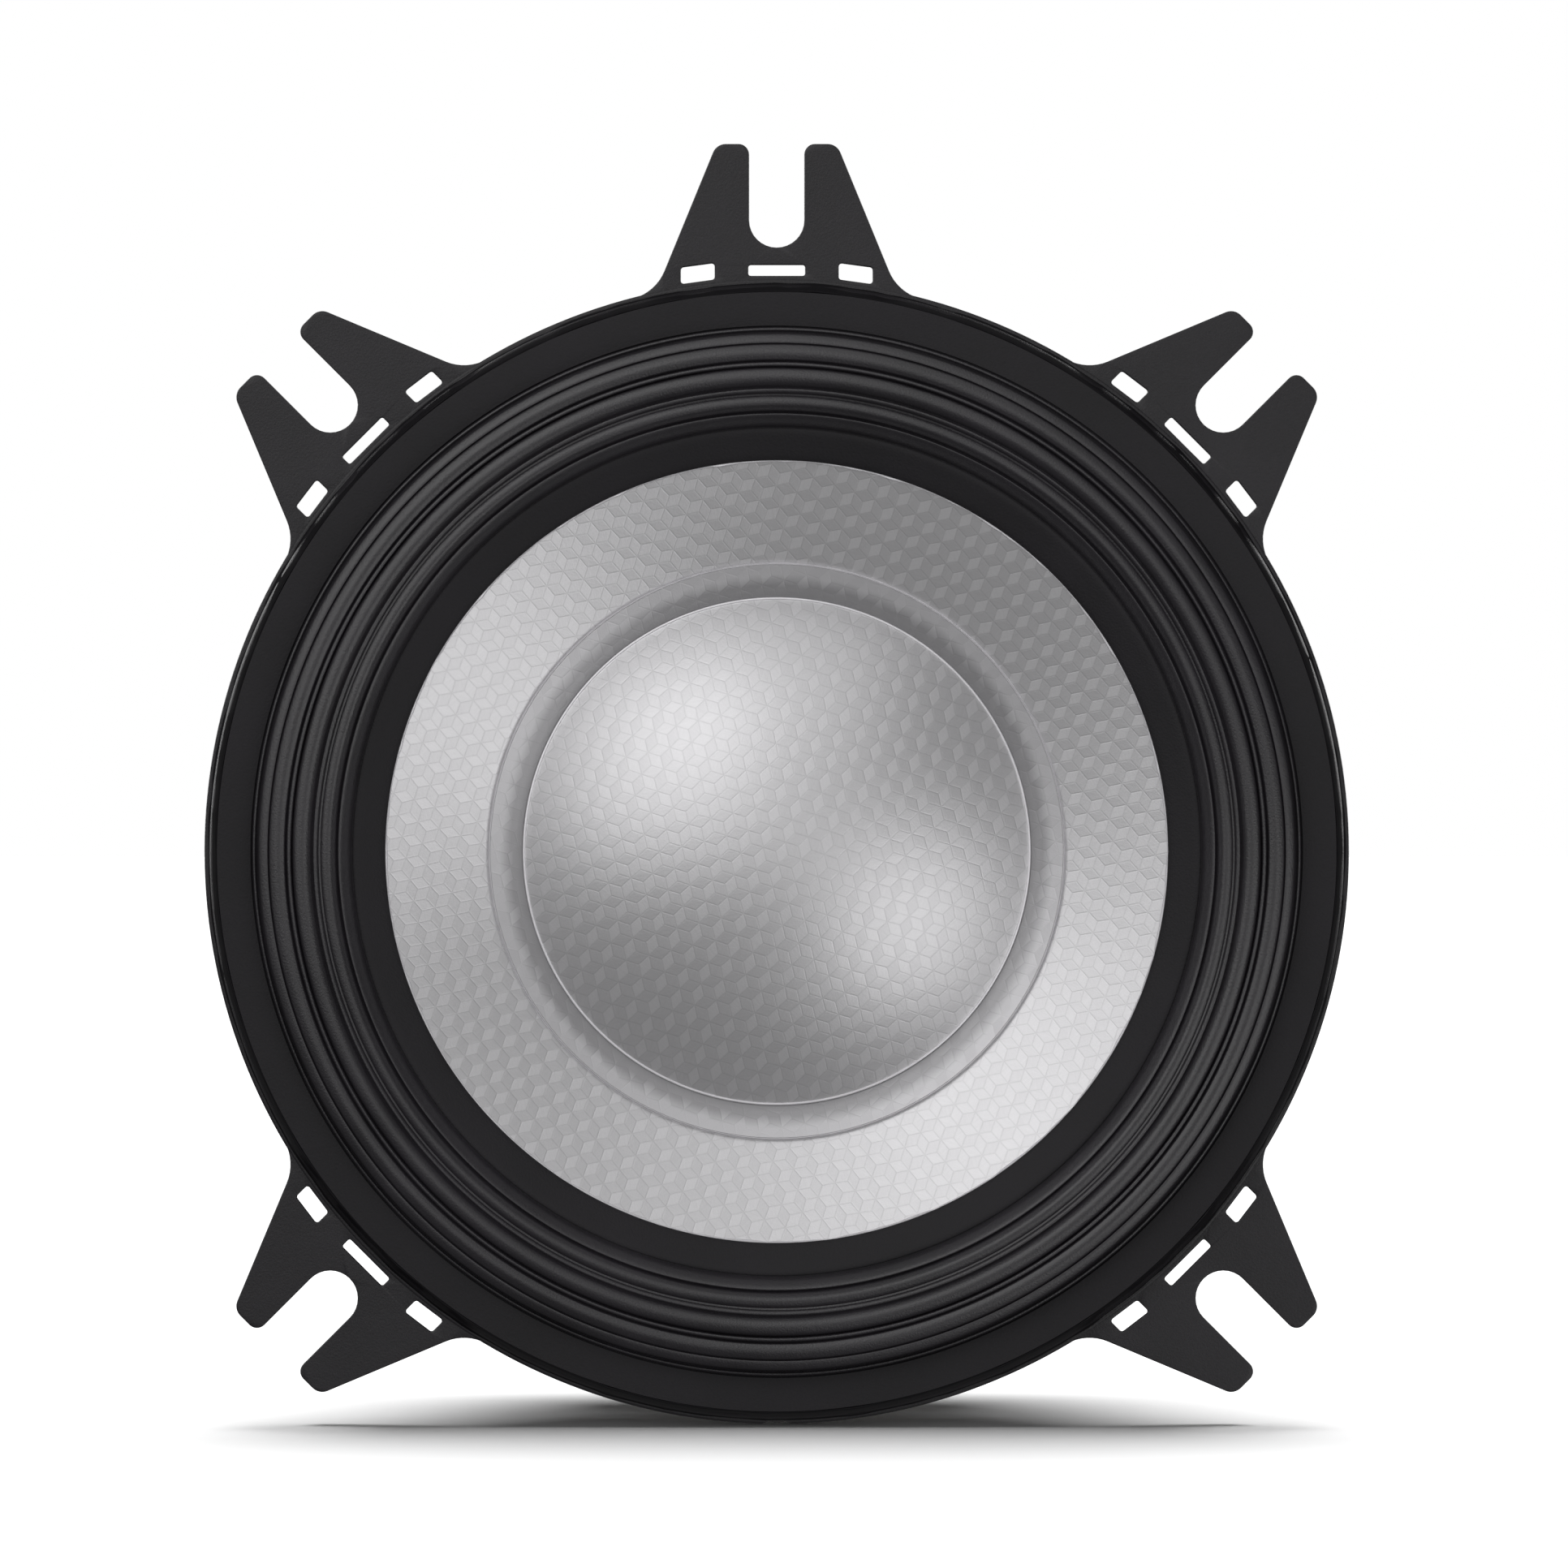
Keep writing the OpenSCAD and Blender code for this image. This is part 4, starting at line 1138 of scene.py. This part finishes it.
class SPEAKER_OT_leads(bpy.types.Operator):
    """Builds the two twisted tinsel leads between the terminals and the voice coil"""
    bl_idname = "speaker.leads"
    bl_label = "Tinsel leads"

    route = [
        (6.5, -34.55, -17), (6.6, -34.8, -15.6), (6.8, -34.3, -13.6), (7.1, -33, -11.6), (7.5, -30.6, -10),
        (7.9, -27.4, -9.3), (8.1, -24, -9.5), (8, -20.8, -10.7), (7.4, -18, -12.4), (6.4, -15.6, -13.9),
        (5.8, -13.4, -14.7),
    ]

    def execute(self, context):
        sizes = context.scene.speaker_leads
        for side, node in ((1, "lead_positive"), (-1, "lead_negative")):
            path = [Vector((side * x, -z, y)) for x, y, z in smooth(self.route, 10)]
            obj = self.twisted(f"tinsel_{node}", path, sizes.strand / MM, sizes.twist / MM)
            starts = [0.0]
            for a, b in zip(path, path[1:]):
                starts.append(starts[-1] + (b - a).length)

            def along(co, path=path, starts=starts):
                nearest = min(range(len(path)), key=lambda i: (path[i] - co).length_squared)
                return starts[nearest] / starts[-1]

            bend_between(obj, along)
            place(obj, "tinsel", None, (node,))
        return {"FINISHED"}

    @staticmethod
    def twisted(name, path, strand, twist):
        """Three strands wound round a path, as one mesh."""
        curve = bpy.data.curves.new(name, "CURVE")
        curve.dimensions = "3D"
        curve.bevel_depth = strand * MM
        curve.bevel_resolution = 1
        curve.use_fill_caps = True
        across = Vector((1, 0, 0))
        for k in range(3):
            spline = curve.splines.new("POLY")
            spline.points.add(len(path) - 1)
            run = 0.0
            for i, p in enumerate(path):
                tangent = (path[min(i + 1, len(path) - 1)] - path[max(i - 1, 0)]).normalized()
                side = tangent.cross(across).normalized()
                up = side.cross(tangent)
                if i:
                    run += (p - path[i - 1]).length
                a = math.tau * (run / twist + k / 3)
                q = (p + (side * math.cos(a) + up * math.sin(a)) * strand * 1.12) * MM
                spline.points[i].co = (*q, 1)
        obj = bpy.data.objects.new(name, curve)
        bpy.context.collection.objects.link(obj)
        only(obj)
        bpy.ops.object.convert(target="MESH")
        return bpy.context.object


class SPEAKER_OT_small_parts(bpy.types.Operator):
    """Gives the small parts that keep their frame shape their finishes"""
    bl_idname = "speaker.small_parts"
    bl_label = "Small parts"

    looks = {
        "neck_glue": "dark_glue", "voice_coil_former": "former_foil", "voice_coil_winding": "wound_copper",
        "coil_collar": "kraft_paper", "copper_cap": "copper_sheet", "vent_screen": "screen_wire",
        "plate_rivets": "zinc_plate", "terminal_board": "laminate", "terminal_positive": "tinned_brass",
        "terminal_negative": "tinned_brass", "solder_tags": "tinned_brass", "terminal_rivets": "tinned_brass",
        "board_rivet": "zinc_plate", "terminal_solder": "solder", "lead_joints": "solder",
    }

    def execute(self, context):
        for node, look in self.looks.items():
            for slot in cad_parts[node].material_slots:
                slot.material = finish(look)
        return {"FINISHED"}


class SPEAKER_OT_stage(bpy.types.Operator):
    """Sets the floor, the room, the lights and the camera"""
    bl_idname = "speaker.stage"
    bl_label = "Stage"

    def execute(self, context):
        sizes = context.scene.speaker_stage
        self.lay_floor(sizes.floor)
        self.light_room(context.scene, sizes.sky)
        for name, direction, distance, size, watts in (
            ("key_light", (-0.53, -0.748, 0.4), 0.85, 0.75, sizes.key),
            ("fill_light", (0.586, -0.748, -0.312), 0.85, 0.6, sizes.fill),
            ("camera_light", (0.05, -1.0, 0.12), 1.3, 0.6, sizes.front),
            ("front_top_light", (0.0, -0.62, 0.78), 0.28, 0.3, sizes.above),
            ("rear_light_left", (-0.62, 0.75, 0.3), 1.1, 0.7, sizes.rear),
            ("rear_light_right", (0.62, 0.75, 0.3), 1.1, 0.7, sizes.rear),
        ):
            self.softbox(name, direction, distance, size, watts)
        self.light_floor(sizes.top)
        bpy.ops.object.camera_add(
            location=(0.65 * MM, -sizes.distance, 6.02 * MM), rotation=(math.pi / 2, 0, 0)
        )
        camera = context.object
        camera.name = "camera"
        camera.data.sensor_width = SENSOR
        camera.data.lens = LENS
        camera.data.clip_start = 0.05
        camera.data.clip_end = 50
        context.scene.camera = camera
        context.scene.view_settings.view_transform = "Standard"
        return {"FINISHED"}

    @staticmethod
    def lay_floor(tint):
        """A wide pale floor that the driver stands on, on the edge of its flange."""
        bpy.ops.object.select_all(action="DESELECT")
        bpy.ops.mesh.primitive_plane_add(size=12, location=(0, 0, -RIM_R * MM))
        floor = bpy.context.object
        floor.name = "floor"
        bpy.ops.object.transform_apply(location=True, rotation=True, scale=True)
        material, tree, shader = new_material("floor_paper", 0.85, Specular_IOR_Level=0.2)
        grain = group(tree, "Fine grain", Size=0.6, Depth=0.002, Cloud_size=60.0)
        tree.links.new(shades(tree, grain["Tone"], tint, 0.99, 1.01), shader.inputs["Base Color"])
        floor.data.materials.append(material)
        # The lower softbox lights the driver from under the floor's level.
        floor.visible_shadow = floor.visible_diffuse = floor.visible_glossy = False

    @staticmethod
    def light_floor(strength):
        """A wide light overhead, a little behind the driver, that whitens the floor alone.

        Every other light leaves the floor out, and the rear lights leave out the glossy seat glue too.
        """
        bpy.ops.object.light_add(type="SUN", location=(0, 0, 1), rotation=(math.radians(-16), 0, 0))
        light = bpy.context.object
        light.name = "floor_light"
        light.data.energy = strength
        light.data.angle = math.radians(46)
        for other in [thing for thing in bpy.context.scene.objects if thing.type == "LIGHT"]:
            linked = bpy.data.collections.new(f"linked_to_{other.name}")
            linked.objects.link(bpy.data.objects["floor"])
            if other.name.startswith("rear"):
                linked.objects.link(bpy.data.objects["seat_glue"])
            for item in linked.collection_objects:
                item.light_linking.link_state = "INCLUDE" if other == light else "EXCLUDE"
            other.light_linking.receiver_collection = linked

    @staticmethod
    def light_room(scene, strength):
        """A white room that lights the driver less than it shows."""
        world = bpy.data.worlds.new("white_room")
        scene.world = world
        world.use_nodes = True
        tree = world.node_tree
        tree.nodes.clear()
        seen = add(tree, "ShaderNodeBackground", {"Color": (1, 1, 1, 1), "Strength": 1.0})
        lit = add(tree, "ShaderNodeBackground", {"Color": (1, 1, 1, 1), "Strength": strength})
        path = add(tree, "ShaderNodeLightPath")
        mix = add(
            tree, "ShaderNodeMixShader",
            {0: path.outputs["Is Camera Ray"], 1: lit.outputs[0], 2: seen.outputs[0]},
        )
        add(tree, "ShaderNodeOutputWorld", {"Surface": mix.outputs[0]})

    @staticmethod
    def softbox(name, direction, distance, size, power):
        """A square area light that faces the driver."""
        way = Vector(direction).normalized()
        bpy.ops.object.light_add(type="AREA", location=way * distance)
        light = bpy.context.object
        light.name = name
        light.rotation_euler = way.to_track_quat("Z", "Y").to_euler()
        light.data.size = size
        light.data.energy = power
        light.visible_camera = False


PIECES = (
    SPEAKER_OT_basket, SPEAKER_OT_surround, SPEAKER_OT_cone, SPEAKER_OT_dust_cap, SPEAKER_OT_spider,
    SPEAKER_OT_motor, SPEAKER_OT_leads, SPEAKER_OT_small_parts, SPEAKER_OT_stage,
)
SETTINGS = {
    "speaker_finishes": SpeakerFinishes, "speaker_basket": SpeakerBasket, "speaker_cone": SpeakerCone,
    "speaker_surround": SpeakerSurround, "speaker_spider": SpeakerSpider, "speaker_motor": SpeakerMotor,
    "speaker_leads": SpeakerLeads, "speaker_stage": SpeakerStage,
}


class SPEAKER_PT_panel(bpy.types.Panel):
    """Lists the speaker's pieces and their sizes"""
    bl_idname = "SPEAKER_PT_panel"
    bl_label = "Car speaker driver"
    bl_space_type = "VIEW_3D"
    bl_region_type = "UI"
    bl_category = "Speaker"

    def draw(self, context):
        for name, kind in SETTINGS.items():
            box = self.layout.box()
            box.label(text=kind.__doc__)
            for key in kind.__annotations__:
                box.prop(getattr(context.scene, name), key)
        for operator in PIECES:
            self.layout.operator(operator.bl_idname)


def register():
    """Registers the settings, the operators and the panel."""
    for kind in SETTINGS.values():
        bpy.utils.register_class(kind)
    for name, kind in SETTINGS.items():
        setattr(bpy.types.Scene, name, PointerProperty(type=kind))
    for kind in (*PIECES, SPEAKER_PT_panel):
        bpy.utils.register_class(kind)


def unregister():
    """Removes what register added."""
    for kind in (SPEAKER_PT_panel, *reversed(PIECES)):
        bpy.utils.unregister_class(kind)
    for name, kind in SETTINGS.items():
        delattr(bpy.types.Scene, name)
        bpy.utils.unregister_class(kind)


def main():
    """Builds every piece and the stage."""
    register()
    for operator in PIECES:
        family, name = operator.bl_idname.split(".")
        getattr(getattr(bpy.ops, family), name)()


if __name__ == "__main__":
    main()
